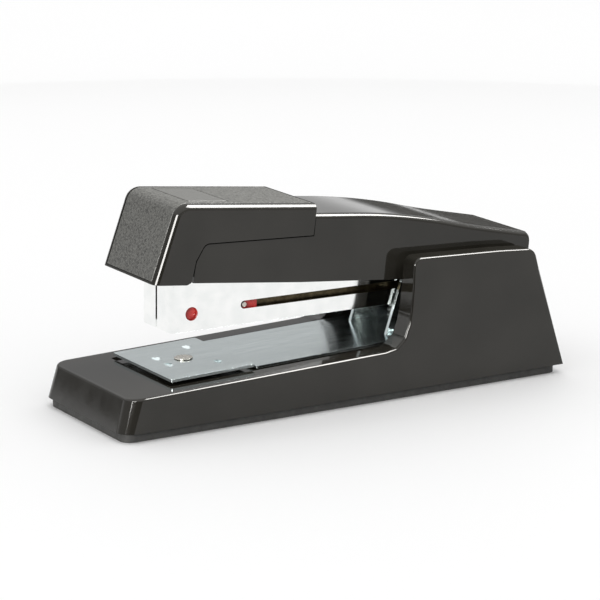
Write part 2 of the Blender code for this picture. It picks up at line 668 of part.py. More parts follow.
def make_cap(handle, plastic):
    cap = handle.prism("head_cap", cap_outline(), (-CAP_HALF_WIDTH, CAP_HALF_WIDTH), plastic,
                       soften=((cap_upper_rim, CAP_EDGE_RADIUS, 3),))
    wall = CAP_WALL
    lean = (CAP_BROW[0] - CAP_FRONT[0]) / (CAP_BROW[1] - CAP_FRONT[1])
    foot = (CAP_FRONT[0] + wall - PAST * lean, CAP_FRONT[1] - PAST)
    top = cap_line(wall)
    inner = [foot, (CAP_BROW[0] + wall, top[0][1]), (0.07, height_on([top[0], (0.07, 0.0492)], 0.07)), (0.07, 0.02)]
    half = CAP_HALF_WIDTH - CAP_SIDE_WALL
    cut(cap, handle.prism("cut_cap_inside", rounded(inner, [0, 0.0025, 0, 0]), (-half, half)))
    reach = PAD_HALF_WIDTH + 0.0002
    cut(cap, handle.prism("cut_pad_recess", pad_band(PAD_THICKNESS + GAP, -0.002), (-reach, reach)))


def cap_path(drop):
    """The cap's front and top surface in side view, lowered by drop, from chin to heel."""
    chin = Vector(CAP_FRONT)
    brow = Vector(CAP_BROW)
    heel = Vector(CAP_HEEL)
    front = (brow - chin).normalized()
    back = (heel - brow).normalized()
    inward = Vector((front.y, -front.x))
    down = Vector((back.y, -back.x))
    corner = brow + (inward + down) * (drop / (1 + inward.dot(down)))
    radius = max(BROW_RADIUS - drop, 0.0005)
    path = [chin + inward * drop + front * 0.0006, corner, heel + down * drop - back * 0.0004]
    return rounded([*path, (0.03, 0.02)], [0, radius, 0, 0])[:-1]


def pad_band(deep, shallow):
    return [*cap_path(shallow), *reversed(cap_path(deep))]


def make_pad(handle, vinyl, label_finish):
    pad = handle.prism("grip_pad", pad_band(PAD_THICKNESS, 0.0), (-PAD_HALF_WIDTH, PAD_HALF_WIDTH), vinyl)
    front, rear = LABEL
    window = rectangle((front, 0.05), (rear, 0.06))
    cut(pad, handle.prism("cut_label", window, (-LABEL_HALF_WIDTH, LABEL_HALF_WIDTH)))
    top = cap_line(0)
    outline = []
    for x, drop in ((front + GAP, 0.0), (rear - GAP, 0.0),
                    (rear - GAP, PAD_THICKNESS), (front + GAP, PAD_THICKNESS)):
        outline.append((x, height_on(top, x) - drop))
    half = LABEL_HALF_WIDTH - GAP
    handle.prism("label_plate", outline, (-half, half), label_finish)


def make_cover(handle, plastic):
    under_cap = [(x, z - GAP) for x, z in cap_line(CAP_WALL)]
    front_top = (0.0262, height_on(under_cap, 0.0262))
    rear_top = (CAP_REAR - GAP, height_on(under_cap, CAP_REAR - GAP))
    top = smooth(COVER_TOP)
    edge = [Vector(point) for point in COVER_EDGE]
    outline = [edge[0], Vector(front_top), Vector(rear_top), *top,
               *map(Vector, reversed(COVER_BELLY)), *reversed(edge[1:])]
    half = COVER_HALF_WIDTH

    def rim(edge):
        middle = (edge.verts[0].co + edge.verts[1].co) / 2
        return is_rim(half, 0.033)(edge) and middle.x > CAP_REAR - 0.001 \
            and middle.z > height_on([(0.05, 0.046), (0.123, 0.0340), (0.13, 0.0340)], middle.x)

    cover = handle.prism("handle_cover", outline, (-half, half), plastic, soften=((rim, 0.0015, 3),))
    wall = COVER_WALL
    tongue = CAP_HALF_WIDTH - CAP_SIDE_WALL - GAP
    hollow = [(0.0200, 0.0200), (0.0200, height_on(under_cap, 0.02) - wall),
              (CAP_REAR + 0.0015, rear_top[1] - wall - 0.0008), *((x, z - wall) for x, z in top[4:-2]),
              (0.1232, 0.0361), (0.1232, 0.0200)]
    narrow = tongue - 0.0013
    cut(cover, handle.prism("cut_cover_inside", hollow, (-narrow, narrow)))
    wide_hollow = [(0.0265, 0.0200), (0.0265, 0.0425), (0.0575, 0.0415), (0.0610, 0.0480 - wall),
                   *((x, z - wall) for x, z in top[4:-2]), (0.1232, 0.0361), (0.1232, 0.0200)]
    wide = half - 0.0014
    cut(cover, handle.prism("cut_cover_sides", wide_hollow, (-wide, wide)))
    skirt = grown_cap_side()
    for side, sign in (("left", -1), ("right", 1)):
        across = sorted((sign * tongue, sign * 0.02))
        cut(cover, handle.prism(f"cut_skirt_{side}", skirt, across))


def grown_cap_side():
    """The side outline that the cover leaves free for the cap's skirt."""
    low = [(CAP_SKIRT[2][0] + GAP, CAP_SKIRT[2][1] - GAP), (CAP_SKIRT[3][0] + 0.0002, CAP_SKIRT[3][1] - GAP),
           (CAP_SKIRT[4][0] + GAP, CAP_SKIRT[4][1] - GAP)]
    lead = (CAP_SKIRT[1][0] + GAP, 0.0300)
    return rounded([(0.01, 0.03), lead, (CAP_SKIRT[1][0] + GAP, CAP_SKIRT[1][1]), *low,
                    (CAP_REAR + GAP, 0.0530), (0.01, 0.07)], [0, 0, 0, 0.002, 0.002, 0, 0, 0])


def make_frame(handle, steel):
    half = FRAME_HALF_WIDTH
    outline = rounded([*FRAME_TOP, *FRAME_EDGE], [0, 0, 0, 0.002, 0.004, 0.004, 0, 0, 0])
    frame = handle.prism("handle_frame", outline, (-half, half), steel)
    wall = FRAME_WALL
    inner = [(0.010, FRAME_TOP[0][1] + 0.0011 - wall), *((x, z - wall) for x, z in FRAME_TOP[1:3]),
             (0.1135, 0.0370 - wall), (0.1135, 0.0100), (0.010, 0.0100)]
    cut(frame, handle.prism("cut_frame_inside", inner, (-half + wall, half - wall)))
    cut(frame, handle.prism("cut_frame_pivot", circle((PIVOT_X, PIVOT_Z), PIN_RADIUS + GAP), (-0.02, 0.02)))
    return frame


def frame_underside(x):
    return height_on(FRAME_TOP, x) - FRAME_WALL


def make_driver(handle, frame, steel):
    tip_x, tip_z = BLADE_TIP
    half = BLADE_THICKNESS / 2
    bend_z = frame_underside(BLADE_BEND_X) - GAP
    bend_x = tip_x + (bend_z - tip_z) * math.tan(BLADE_LEAN)
    end_z = frame_underside(BLADE_TAB_END) - GAP
    outline = [(tip_x - half, tip_z), (tip_x + half, tip_z), (bend_x + half, bend_z - BLADE_THICKNESS),
               (BLADE_TAB_END, end_z - BLADE_THICKNESS), (BLADE_TAB_END, end_z), (bend_x - half, bend_z)]
    blade = handle.prism("driver_blade", outline, (-BLADE_HALF_WIDTH, BLADE_HALF_WIDTH), steel)
    slope = math.atan2(FRAME_TOP[0][1] - FRAME_TOP[1][1], FRAME_TOP[1][0] - FRAME_TOP[0][0])
    grip = FRAME_WALL + GAP + BLADE_THICKNESS + 0.0002
    for side, y in (("left", -BLADE_RIVET_Y), ("right", BLADE_RIVET_Y)):
        place = (frame_at(BLADE_RIVET_X, height_on(FRAME_TOP, BLADE_RIVET_X), slope)
                 @ Matrix.Translation((0, y, 0)))
        for target in (blade, frame):
            hole = handle.turned(f"cut_{target.name}_{side}", disc(RIVET_HOLE_RADIUS, -0.004, 0.004), frame=place,
                                 segments=16)
            cut(target, hole)
        rivet = pin_profile(0.0010, -grip, 0.0002, 0.0019, 0.0005, 0.0018)
        handle.turned(f"driver_rivet_{side}", rivet, steel, place, 20)


def make_handle_spring(handle, spring_steel):
    seat = MAGAZINE @ Vector((on_magazine(HANDLE_SPRING_X), 0, MAGAZINE_TOP))
    roof = frame_underside(HANDLE_SPRING_X + HANDLE_SPRING[0])
    handle.coil("handle_spring", HANDLE_SPRING, roof - seat.z - 2 * GAP, spring_steel,
                frame_at(HANDLE_SPRING_X, seat.z + GAP))


# ---------------------------------------------------------------- assembly
def clear_scene():
    for old in list(bpy.data.objects):
        bpy.data.objects.remove(old)


def main():
    clear_scene()
    gloss_black = material("gloss_black", (0.020, 0.019, 0.017), 0.22)
    black_vinyl = material("black_vinyl", (0.060, 0.060, 0.056), 0.60)
    label_black = material("label_black", (0.045, 0.045, 0.042), 0.45)
    rubber = material("rubber", (0.015, 0.015, 0.014), 0.70)
    chrome = material("chrome", (0.82, 0.84, 0.83), 0.10, 1.0)
    plate_steel = material("plate_steel", (0.50, 0.55, 0.57), 0.22, 1.0)
    bronze_steel = material("bronze_steel", (0.16, 0.13, 0.08), 0.35, 1.0)
    spring_steel = material("spring_steel", (0.40, 0.40, 0.38), 0.30, 1.0)
    pin_steel = material("pin_steel", (0.62, 0.60, 0.55), 0.30, 1.0)
    red_plastic = material("red_plastic", (0.42, 0.025, 0.020), 0.35)

    base = Builder(joint_empty("base_origin", frame_at(MIDDLE, 0)))
    lifter = Builder(joint_empty("anvil_lift_axis", DECK))
    anvil = Builder(joint_empty("anvil_turn_axis", DECK))
    magazine = Builder(joint_empty("magazine_pivot_axis", MAGAZINE))
    pusher = Builder(joint_empty("pusher_slide_axis", MAGAZINE))
    handle = Builder(joint_empty("handle_pivot_axis", AXLE))

    make_base_shell(base, gloss_black)
    make_foot(base, rubber)
    make_bracket(base, plate_steel)
    make_pivot(base, pin_steel)
    make_anvil(anvil, lifter, base, plate_steel, spring_steel, rubber)
    make_magazine(magazine, chrome)
    make_rail(magazine, bronze_steel, spring_steel)
    make_spring_seat(magazine, plate_steel)
    make_pusher(pusher, red_plastic, pin_steel)
    make_pusher_spring(magazine, spring_steel)
    make_cap(handle, gloss_black)
    make_pad(handle, black_vinyl, label_black)
    make_cover(handle, gloss_black)
    frame = make_frame(handle, plate_steel)
    make_driver(handle, frame, pin_steel)
    make_handle_spring(handle, spring_steel)


main()
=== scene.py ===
"""Looks of the compact desktop stapler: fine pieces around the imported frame, materials, light, camera.

Metres, +Z up, front of the base towards -X. Outlines are drawn in the side plane as
(station, height), with stations running backwards from a datum just behind the base's front edge.
"""

import json
import math

import bmesh
import bpy
from mathutils import Matrix, Quaternion, Vector, noise


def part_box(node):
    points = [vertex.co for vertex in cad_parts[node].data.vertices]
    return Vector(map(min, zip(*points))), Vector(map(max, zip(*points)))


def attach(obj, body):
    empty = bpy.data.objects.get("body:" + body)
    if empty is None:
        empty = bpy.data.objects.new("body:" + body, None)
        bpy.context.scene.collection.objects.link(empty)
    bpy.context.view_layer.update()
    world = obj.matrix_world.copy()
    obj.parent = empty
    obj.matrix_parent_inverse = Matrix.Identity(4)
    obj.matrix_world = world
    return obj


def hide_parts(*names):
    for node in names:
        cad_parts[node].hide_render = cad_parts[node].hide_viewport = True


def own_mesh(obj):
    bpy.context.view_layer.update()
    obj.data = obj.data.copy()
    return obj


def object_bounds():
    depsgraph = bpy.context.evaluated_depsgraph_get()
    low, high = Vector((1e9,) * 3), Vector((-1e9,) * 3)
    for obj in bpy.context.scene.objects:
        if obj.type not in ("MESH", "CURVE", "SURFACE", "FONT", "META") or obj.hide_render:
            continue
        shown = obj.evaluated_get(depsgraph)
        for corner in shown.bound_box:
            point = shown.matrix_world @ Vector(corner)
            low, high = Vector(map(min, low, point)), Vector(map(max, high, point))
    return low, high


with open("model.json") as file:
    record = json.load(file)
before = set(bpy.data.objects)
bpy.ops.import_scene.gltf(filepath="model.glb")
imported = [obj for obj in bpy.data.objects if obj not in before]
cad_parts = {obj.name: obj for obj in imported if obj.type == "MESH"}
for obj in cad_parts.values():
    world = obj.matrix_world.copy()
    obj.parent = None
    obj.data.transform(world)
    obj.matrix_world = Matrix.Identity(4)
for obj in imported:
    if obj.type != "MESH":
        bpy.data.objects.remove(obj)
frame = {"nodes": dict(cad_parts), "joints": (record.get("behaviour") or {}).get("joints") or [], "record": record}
CAD_BOUNDS = [list(corner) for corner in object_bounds()]
NODES = frame["nodes"]
JOINTS = {joint["name"]: joint for joint in frame["joints"]}

BASE_FRONT = -0.0012
DATUM = CAD_BOUNDS[0][0] - BASE_FRONT
GAP = 0.0003
PAST = 0.01  # how far a cutter runs past the surface it cuts

# Foot and shell
FOOT_HEIGHT = 0.0021
FOOT_CORNER_RADIUS = 0.0030
FOOT_PLUG_END = 0.0028
FOOT_PLUG_SIDE = 0.0016
FOOT_PLUG_HEIGHT = 0.0035
BUTTON_HOLE_RADIUS = 0.0055
GROOVES = 7
GROOVE_START = 0.046
GROOVE_PITCH = 0.011
GROOVE_HALF = (0.0006, 0.015)
SHELL_BOTTOM = 0.0024
BASE_REAR = 0.1310
BASE_HALF_WIDTH = 0.0221
SIDE_DRAFT = 0.055
SHELL_WALL = 0.0018
CHEEK_CORNER_RADII = (0.0024, 0.0030)
HOLLOW_REAR = (0.1262, 0.1290)
RECESS_LIP = 0.0023
BOSS_RADIUS = 0.0065
BOSS_DEPTH = 0.0012
SHELL_EDGE_RADIUS = 0.0016
FRONT_CORNER_RADIUS = 0.0042
DECK_FRONT = 0.0012
DECK_FRONT_HEIGHT = 0.0108
DECK_SLOPE = math.radians(1.73)
RECESS_FRONT = 0.0152
RECESS_DEPTH = 0.0005
RECESS_HALF_WIDTH = 0.0158
CHEEK_FOOT = 0.0750
CHEEK_INNER = 0.0151
CHEEK_POCKET = (0.0165, 0.0187)
WELL = (0.0978, 0.1249)
REAR_WALL_HEIGHT = 0.0185

# Steel parts on the deck
PLATE = (0.0407, 0.0968)
PLATE_TOP = 0.0005
SHEET = 0.0007
EAR = (0.0081, 0.0091)
ANVIL_X = 0.0277
ANVIL_TOP = 0.0015
POST_RADIUS = 0.0016
RIVET_RADIUS = 0.0013
SHEET_CORNER_RADIUS = 0.0008
POST_HEAD = (0.0024, 0.00035)
POCKET_DEPTH = 0.00042
POCKET_RADIUS = 0.0045
POCKET_HALF_WIDTH = 0.0013
POCKETS = [(-0.0058, 0.0033), (0.0057, 0.0082)]

# Springs: coil radius, wire radius, turns
SPRINGS = {
    "return_spring": (0.0028, 0.0004, 5),
    "anvil_spring": (0.0029, 0.00035, 5),
    "handle_spring": (0.0026, 0.00035, 6),
}
PUSHER_SPRING = (0.0016, 0.0002, 22)
PIN_RADIUS = 0.0017

# Magazine, from the pivot in its own level frame
MAGAZINE_TILT = math.radians(0.49)
MAGAZINE_FRONT = 0.0200
MAGAZINE_TAIL = 0.0052
MAGAZINE_BOTTOM = -0.00665
MAGAZINE_TOP = 0.0060
MAGAZINE_HALF_WIDTH = 0.0075
MAGAZINE_WALL = 0.0008
MAGAZINE_TAIL_RADIUS = 0.0045
MAGAZINE_BEND_RADIUS = 0.0013
MAGAZINE_FOLD_RADIUS = 0.0008
SLIT_HALF_WIDTH = 0.0004
SLOT_HEIGHT = -0.0016
SLOT = (0.0401, 0.0943)
SLOT_RADIUS = 0.00105
WINDOW = (0.0259, -0.0022)
WINDOW_RADIUS = 0.00175
RAIL = (0.0224, 0.0993)
RAIL_HALF_WIDTH = 0.0056
RAIL_TOP = 0.0001
ROD_HEIGHT = -0.0026
ROD_RADIUS = 0.0010
PUSHER = (0.0235, 0.0455)
PUSHER_HALF_WIDTH = 0.00635
PUSHER_TOP = 0.0019
PUSHER_BOTTOM = -0.0054
PUSHER_BLOCK = (0.0010, 0.0068)
PUSHER_BLOCK_HALF_WIDTH = 0.0042
PUSHER_WEB_HALF_WIDTH = 0.0009
GRIPS = 3
GRIP_START = 0.0130
GRIP_PITCH = 0.0022
GRIP_SIZE = (0.0009, 0.0004)
GRIP_HALF_WIDTH = 0.0045
STUD_X = 0.0412
STUD_RADIUS = 0.00065

# Handle
COVER_HALF_WIDTH = 0.0134
COVER_WALL = 0.0015
CAP_HALF_WIDTH = 0.0137
CAP_WALL = 0.0018
CAP_EDGE_RADIUS = 0.0018
CAP_SIDE_WALL = 0.0014
BROW_RADIUS = 0.0040
CAP_REAR = 0.0589
PAD_HALF_WIDTH = 0.0117
PAD_THICKNESS = 0.0006
LABEL = (0.0240, 0.0357)
LABEL_HALF_WIDTH = 0.0092

# Side outlines
DECK_TO_CHEEK = [(0.0783, 0.0136), (0.0808, 0.0157), (0.0823, 0.0191), (0.0831, 0.0230), (0.0837, 0.0282)]
CHEEK_TOP = [(0.0843, 0.0363), (0.1109, 0.0353), (0.1222, 0.0345)]
REAR_SLOPE = [(0.1235, 0.0294), (BASE_REAR, SHELL_BOTTOM)]
CHEEK_POCKET_OUTLINE = [(0.0860, 0.008), (0.0872, 0.0335), (0.1185, 0.0325), (0.1212, 0.0280),
                        (0.1258, 0.008)]
EAR_OUTLINE = [(0.0827, 0.0128), (0.0877, 0.0279), (0.0889, 0.0330), (0.1115, 0.0330), (0.1115, 0.0250),
               (0.0965, 0.0133)]
COVER_TOP = [(CAP_REAR, 0.0495), (0.0776, 0.0475), (0.0926, 0.0448), (0.1075, 0.0411), (0.1247, 0.0374)]
COVER_EDGE = [(0.0231, 0.0359), (0.0540, 0.0324), (0.0781, 0.0301), (0.0906, 0.0288)]
COVER_BELLY = [(0.0974, 0.0240), (0.1113, 0.0240), (0.1173, 0.0284), (0.1249, 0.0314), (0.1254, 0.0367)]
CAP_FRONT = (0.0120, 0.0366)
CAP_BROW = (0.0192, 0.0562)
CAP_HEEL = (CAP_REAR, 0.0521)
CAP_SKIRT = [(0.0213, 0.0356), (0.0225, 0.0361), (0.0238, 0.0414), (0.0265, 0.0455), (0.0578, 0.0441)]


# ---------------------------------------------------------------- outlines
def deck_height(x):
    return DECK_FRONT_HEIGHT + (x - DECK_FRONT) * math.tan(DECK_SLOPE)


def rounded(outline, radii, steps=10):
    """The closed outline with each corner that has a radius replaced by an arc."""
    points = []
    count = len(outline)
    for index, (corner, radius) in enumerate(zip(outline, radii)):
        corner = Vector(corner)
        if not radius:
            points.append(corner)
            continue
        before = (Vector(outline[index - 1]) - corner).normalized()
        after = (Vector(outline[(index + 1) % count]) - corner).normalized()
        half = before.angle(after) / 2
        centre = corner + (before + after).normalized() * (radius / math.sin(half))
        start = corner + before * (radius / math.tan(half)) - centre
        sweep = (math.pi - 2 * half) * (1 if before.cross(after) < 0 else -1)
        for step in range(steps + 1):
            points.append(centre + Matrix.Rotation(sweep * step / steps, 2) @ start)
    return points


def smooth(points, steps=8):
    """A Catmull-Rom curve through the points."""
    points = [Vector(point) for point in points]
    ends = [2 * points[0] - points[1], *points, 2 * points[-1] - points[-2]]
    curve = []
    for first, second, third, fourth in zip(ends, ends[1:], ends[2:], ends[3:]):
        for step in range(steps):
            t = step / steps
            curve.append(0.5 * (2 * second + (third - first) * t
                                + (2 * first - 5 * second + 4 * third - fourth) * t ** 2
                                + (3 * second - first - 3 * third + fourth) * t ** 3))
    return [*curve, points[-1]]


def height_on(path, x):
    for (x0, z0), (x1, z1) in zip(path, path[1:]):
        if x <= x1:
            return z0 + (z1 - z0) * (x - x0) / (x1 - x0)
    return path[-1][1]


def circle(centre, radius, segments=64):
    return [Vector((centre[0] + radius * math.cos(math.tau * step / segments),
                    centre[1] + radius * math.sin(math.tau * step / segments)))
            for step in range(segments)]


def rectangle(low, high):
    return [Vector(low), Vector((high[0], low[1])), Vector(high), Vector((low[0], high[1]))]


def disc(radius, low, high):
    """A solid round's profile (radius, height)."""
    return [(0, low), (radius, low), (radius, high), (0, high)]


# ---------------------------------------------------------------- places
def frame_at(x, z, turn=0.0):
    return Matrix.Translation((x + DATUM, 0, z)) @ Matrix.Rotation(turn, 4, "Y")


PIVOT = Vector(JOINTS["magazine_pivot"]["pos_m"])
PIVOT_X = PIVOT.x - DATUM
SIDE = frame_at(0, 0)
DECK = frame_at(ANVIL_X, deck_height(ANVIL_X), -DECK_SLOPE)
MAGAZINE = frame_at(PIVOT_X, PIVOT.z, MAGAZINE_TILT)
ALONG = Matrix.Rotation(math.radians(90), 4, "Y")
ON_ROD = MAGAZINE @ Matrix.Translation((0, 0, ROD_HEIGHT)) @ ALONG


# ---------------------------------------------------------------- solids
def place_mesh(name, bm, place):
    bmesh.ops.recalc_face_normals(bm, faces=bm.faces)
    mesh = bpy.data.meshes.new(name)
    bm.to_mesh(mesh)
    bm.free()
    mesh.transform(place)
    made = bpy.data.objects.new(name, mesh)
    bpy.context.scene.collection.objects.link(made)
    return made


def prism(name, outline, across, place=SIDE, draft=0.0, soften=()):
    """Extrudes a side outline (x, z) across Y. With draft, the sides lean in with height."""
    bm = bmesh.new()
    sides = [[bm.verts.new((x, y - math.copysign(draft * z, y), z)) for x, z in outline] for y in across]
    bm.faces.new(sides[0])
    bm.faces.new(sides[1])
    for index in range(len(outline)):
        after = (index + 1) % len(outline)
        bm.faces.new((sides[0][index], sides[0][after], sides[1][after], sides[1][index]))
    bmesh.ops.recalc_face_normals(bm, faces=bm.faces)
    for choose, radius, segments in soften:
        edges = [edge for edge in bm.edges if choose(edge)]
        bmesh.ops.bevel(bm, geom=edges, offset=radius, segments=segments, profile=0.5, affect="EDGES",
                        clamp_overlap=True)
    return place_mesh(name, bm, place)


def slab(name, outline, low, high, place=SIDE):
    """Extrudes a plan outline (x, y) from one height to another."""
    bm = bmesh.new()
    layers = [[bm.verts.new((x, y, z)) for x, y in outline] for z in (low, high)]
    bm.faces.new(layers[0])
    bm.faces.new(layers[1])
    for index in range(len(outline)):
        after = (index + 1) % len(outline)
        bm.faces.new((layers[0][index], layers[0][after], layers[1][after], layers[1][index]))
    return place_mesh(name, bm, place)


def turned(name, profile, place=SIDE, segments=64):
    """Turns a closed profile (radius, height) about the place's Z axis."""
    bm = bmesh.new()
    rings = []
    for step in range(segments):
        angle = math.tau * step / segments
        rings.append([bm.verts.new((r * math.cos(angle), r * math.sin(angle), h)) for r, h in profile])
    for ring, after in zip(rings, rings[1:] + rings[:1]):
        for index in range(len(profile)):
            above = (index + 1) % len(profile)
            bm.faces.new((ring[index], after[index], after[above], ring[above]))
    bmesh.ops.remove_doubles(bm, verts=bm.verts, dist=1e-6)
    return place_mesh(name, bm, place)


def coil(name, radius, wire, length, turns, place, steps=28, sides=10):
    """A compression spring along the place's Z axis, with a closed turn at each end."""
    bm = bmesh.new()
    rings = []
    total = turns * steps
    closed = steps
    open_rise = (length - 2 * wire - 2 * wire * 1.9) / max(total - 2 * closed, 1)
    height = wire
    for step in range(total + 1):
        angle = math.tau * step / steps
        out = Vector((math.cos(angle), math.sin(angle), 0))
        ring = []
        for side in range(sides):
            lean = math.tau * side / sides
            ring.append(bm.verts.new(out * (radius + wire * math.cos(lean))
                                     + Vector((0, 0, height + wire * math.sin(lean)))))
        rings.append(ring)
        ends = step < closed or step >= total - closed
        height += 1.9 * wire / closed if ends else open_rise
    for ring, after in zip(rings, rings[1:]):
        for index in range(sides):
            beside = (index + 1) % sides
            bm.faces.new((ring[index], ring[beside], after[beside], after[index]))
    bm.faces.new(rings[0])
    bm.faces.new(rings[-1])
    made = place_mesh(name, bm, place)
    made.data.shade_smooth()
    return made


def combine(target, others, operation):
    for other in others:
        modifier = target.modifiers.new(other.name, "BOOLEAN")
        modifier.operation = operation
        modifier.object = other


def cut(target, *cutters):
    combine(target, cutters, "DIFFERENCE")


def add(target, *others):
    combine(target, others, "UNION")


def settle(target, edge=0.0, segments=2, angle=32):
    """Applies the cuts and joins, then rounds every sharp edge that is left."""
    tools = [modifier.object for modifier in target.modifiers]
    if edge:
        bevel = target.modifiers.new("edges", "BEVEL")
        bevel.width = edge
        bevel.segments = segments
        bevel.limit_method = "ANGLE"
        bevel.angle_limit = math.radians(angle)
        bevel.miter_outer = "MITER_ARC"
        bevel.use_clamp_overlap = True
    depsgraph = bpy.context.evaluated_depsgraph_get()
    shaped = bpy.data.meshes.new_from_object(target.evaluated_get(depsgraph), depsgraph=depsgraph)
    target.modifiers.clear()
    target.data = shaped
    for tool in tools:
        bpy.data.objects.remove(tool)
    shaped.shade_smooth()
    shaped.set_sharp_from_angle(angle=math.radians(angle))
    weighted = target.modifiers.new("weighted_normals", "WEIGHTED_NORMAL")
    weighted.keep_sharp = True
    return target


# ---------------------------------------------------------------- materials
class Recipe:
    """A Principled material built up from procedural textures in millimetres."""

    def __init__(self, name, colour, roughness, metallic=0.0):
        self.material = bpy.data.materials.new(name)
        self.material.use_nodes = True
        self.tree = self.material.node_tree
        self.shader = self.tree.nodes["Principled BSDF"]
        self.shader.inputs["Base Color"].default_value = (*colour, 1.0)
        self.shader.inputs["Roughness"].default_value = roughness
        self.shader.inputs["Metallic"].default_value = metallic
        self.material.diffuse_color = (*colour, 1.0)
        self.place = self.node("ShaderNodeTexCoord").outputs["Object"]
        self.normal = None

    def node(self, kind, **values):
        made = self.tree.nodes.new(kind)
        for key, value in values.items():
            setattr(made, key, value)
        return made

    def link(self, output, target):
        self.tree.links.new(output, target)

    def per_mm(self, stretch=(1, 1, 1)):
        mapping = self.node("ShaderNodeMapping")
        mapping.inputs["Scale"].default_value = [1000 * value for value in stretch]
        self.link(self.place, mapping.inputs["Vector"])
        return mapping.outputs["Vector"]

    def cloud(self, scale, detail=3.0, stretch=(1, 1, 1), rough=0.5):
        texture = self.node("ShaderNodeTexNoise")
        texture.inputs["Scale"].default_value = scale
        texture.inputs["Detail"].default_value = detail
        texture.inputs["Roughness"].default_value = rough
        self.link(self.per_mm(stretch), texture.inputs["Vector"])
        return texture.outputs["Fac"]

    def cells(self, scale, feature="F1", randomness=1.0):
        texture = self.node("ShaderNodeTexVoronoi", feature=feature)
        texture.inputs["Scale"].default_value = scale
        texture.inputs["Randomness"].default_value = randomness
        self.link(self.per_mm(), texture.inputs["Vector"])
        return texture.outputs["Distance"]

    def spread(self, value, low, high, start=0.0, end=1.0):
        ranged = self.node("ShaderNodeMapRange")
        ranged.inputs["From Min"].default_value = start
        ranged.inputs["From Max"].default_value = end
        ranged.inputs["To Min"].default_value = low
        ranged.inputs["To Max"].default_value = high
        self.link(value, ranged.inputs["Value"])
        return ranged.outputs["Result"]

    def blend_colour(self, value, first, second, start=0.35, end=0.65):
        ramp = self.node("ShaderNodeValToRGB")
        ramp.color_ramp.elements[0].position = start
        ramp.color_ramp.elements[0].color = (*first, 1.0)
        ramp.color_ramp.elements[1].position = end
        ramp.color_ramp.elements[1].color = (*second, 1.0)
        self.link(value, ramp.inputs["Fac"])
        return ramp.outputs["Color"]

    def colour_from(self, value, first, second, start=0.35, end=0.65):
        self.link(self.blend_colour(value, first, second, start, end), self.shader.inputs["Base Color"])

    def roughness_from(self, value, low, high, start=0.3, end=0.7):
        self.link(self.spread(value, low, high, start, end), self.shader.inputs["Roughness"])

    def bump(self, value, depth_mm, strength=1.0):
        bump = self.node("ShaderNodeBump")
        bump.inputs["Distance"].default_value = depth_mm / 1000
        bump.inputs["Strength"].default_value = strength
        self.link(value, bump.inputs["Height"])
        if self.normal:
            self.link(self.normal, bump.inputs["Normal"])
        self.normal = bump.outputs["Normal"]
        self.link(self.normal, self.shader.inputs["Normal"])

    def set(self, **values):
        for name, value in values.items():
            self.shader.inputs[name.replace("_", " ")].default_value = value


def gloss_black():
    recipe = Recipe("gloss_black", (0.008, 0.0075, 0.006), 0.11)
    recipe.colour_from(recipe.cloud(0.06, 4), (0.007, 0.0065, 0.0052), (0.010, 0.0093, 0.0078))
    recipe.roughness_from(recipe.cloud(0.22, 5, (1, 1, 0.6)), 0.045, 0.085)
    recipe.bump(recipe.cloud(1.6, 2), 0.0008)
    recipe.bump(recipe.cloud(9.0, 2), 0.0002)
    recipe.set(IOR=1.44)
    return recipe.material


def leather_vinyl(name, cell, depth, dark, light, roughness):
    recipe = Recipe(name, light, roughness)
    grain = recipe.cells(cell, "SMOOTH_F1")
    fine = recipe.cloud(cell * 3.1, 4)
    recipe.colour_from(grain, light, dark, 0.15, 0.85)
    recipe.roughness_from(fine, roughness - 0.08, roughness + 0.12)
    recipe.bump(recipe.spread(grain, 1.0, 0.0), depth)
    recipe.bump(fine, depth * 0.35)
    recipe.set(Specular_IOR_Level=0.55)
    return recipe.material


def rubber(name, colour):
    recipe = Recipe(name, colour, 0.62)
    recipe.colour_from(recipe.cloud(0.5, 6), tuple(0.8 * part for part in colour),
                       tuple(1.25 * part for part in colour))
    recipe.roughness_from(recipe.cloud(1.3, 4), 0.52, 0.74)
    recipe.bump(recipe.cloud(14.0, 3), 0.006)
    return recipe.material


def chrome():
    recipe = Recipe("chrome", (0.90, 0.91, 0.90), 0.07, 1.0)
    recipe.colour_from(recipe.cloud(0.3, 3), (0.86, 0.875, 0.865), (0.93, 0.935, 0.925))
    recipe.roughness_from(recipe.cloud(0.9, 5, (1, 1, 0.15)), 0.06, 0.11)
    recipe.bump(recipe.cloud(0.12, 1), 0.002)
    recipe.bump(recipe.cloud(6.0, 2, (1, 1, 0.06)), 0.0002)
    return recipe.material


def brushed(name, dark, light, roughness, stretch, scratch=0.0012):
    recipe = Recipe(name, light, roughness, 1.0)
    lines = recipe.cloud(7.0, 5, stretch, 0.6)
    recipe.colour_from(lines, dark, light, 0.3, 0.7)
    recipe.roughness_from(recipe.cloud(2.0, 5, stretch), roughness - 0.05, roughness + 0.09)
    recipe.bump(lines, scratch)
    return recipe.material


def bronze_steel():
    recipe = Recipe("bronze_steel", (0.26, 0.21, 0.13), 0.30, 1.0)
    recipe.colour_from(recipe.cloud(0.8, 6), (0.040, 0.032, 0.019), (0.095, 0.076, 0.045), 0.3, 0.7)
    recipe.roughness_from(recipe.cloud(3.0, 4, (0.1, 1, 1)), 0.22, 0.42)
    recipe.bump(recipe.cloud(8.0, 3, (0.08, 1, 1)), 0.001)
    return recipe.material


def red_plastic():
    recipe = Recipe("red_plastic", (0.31, 0.016, 0.013), 0.30)
    recipe.colour_from(recipe.cloud(0.4, 3), (0.26, 0.012, 0.010), (0.36, 0.021, 0.017))
    recipe.roughness_from(recipe.cloud(1.8, 4), 0.24, 0.38)
    recipe.bump(recipe.cloud(7.0, 2), 0.002)
    recipe.set(Subsurface_Weight=0.05, Subsurface_Scale=0.001)
    return recipe.material


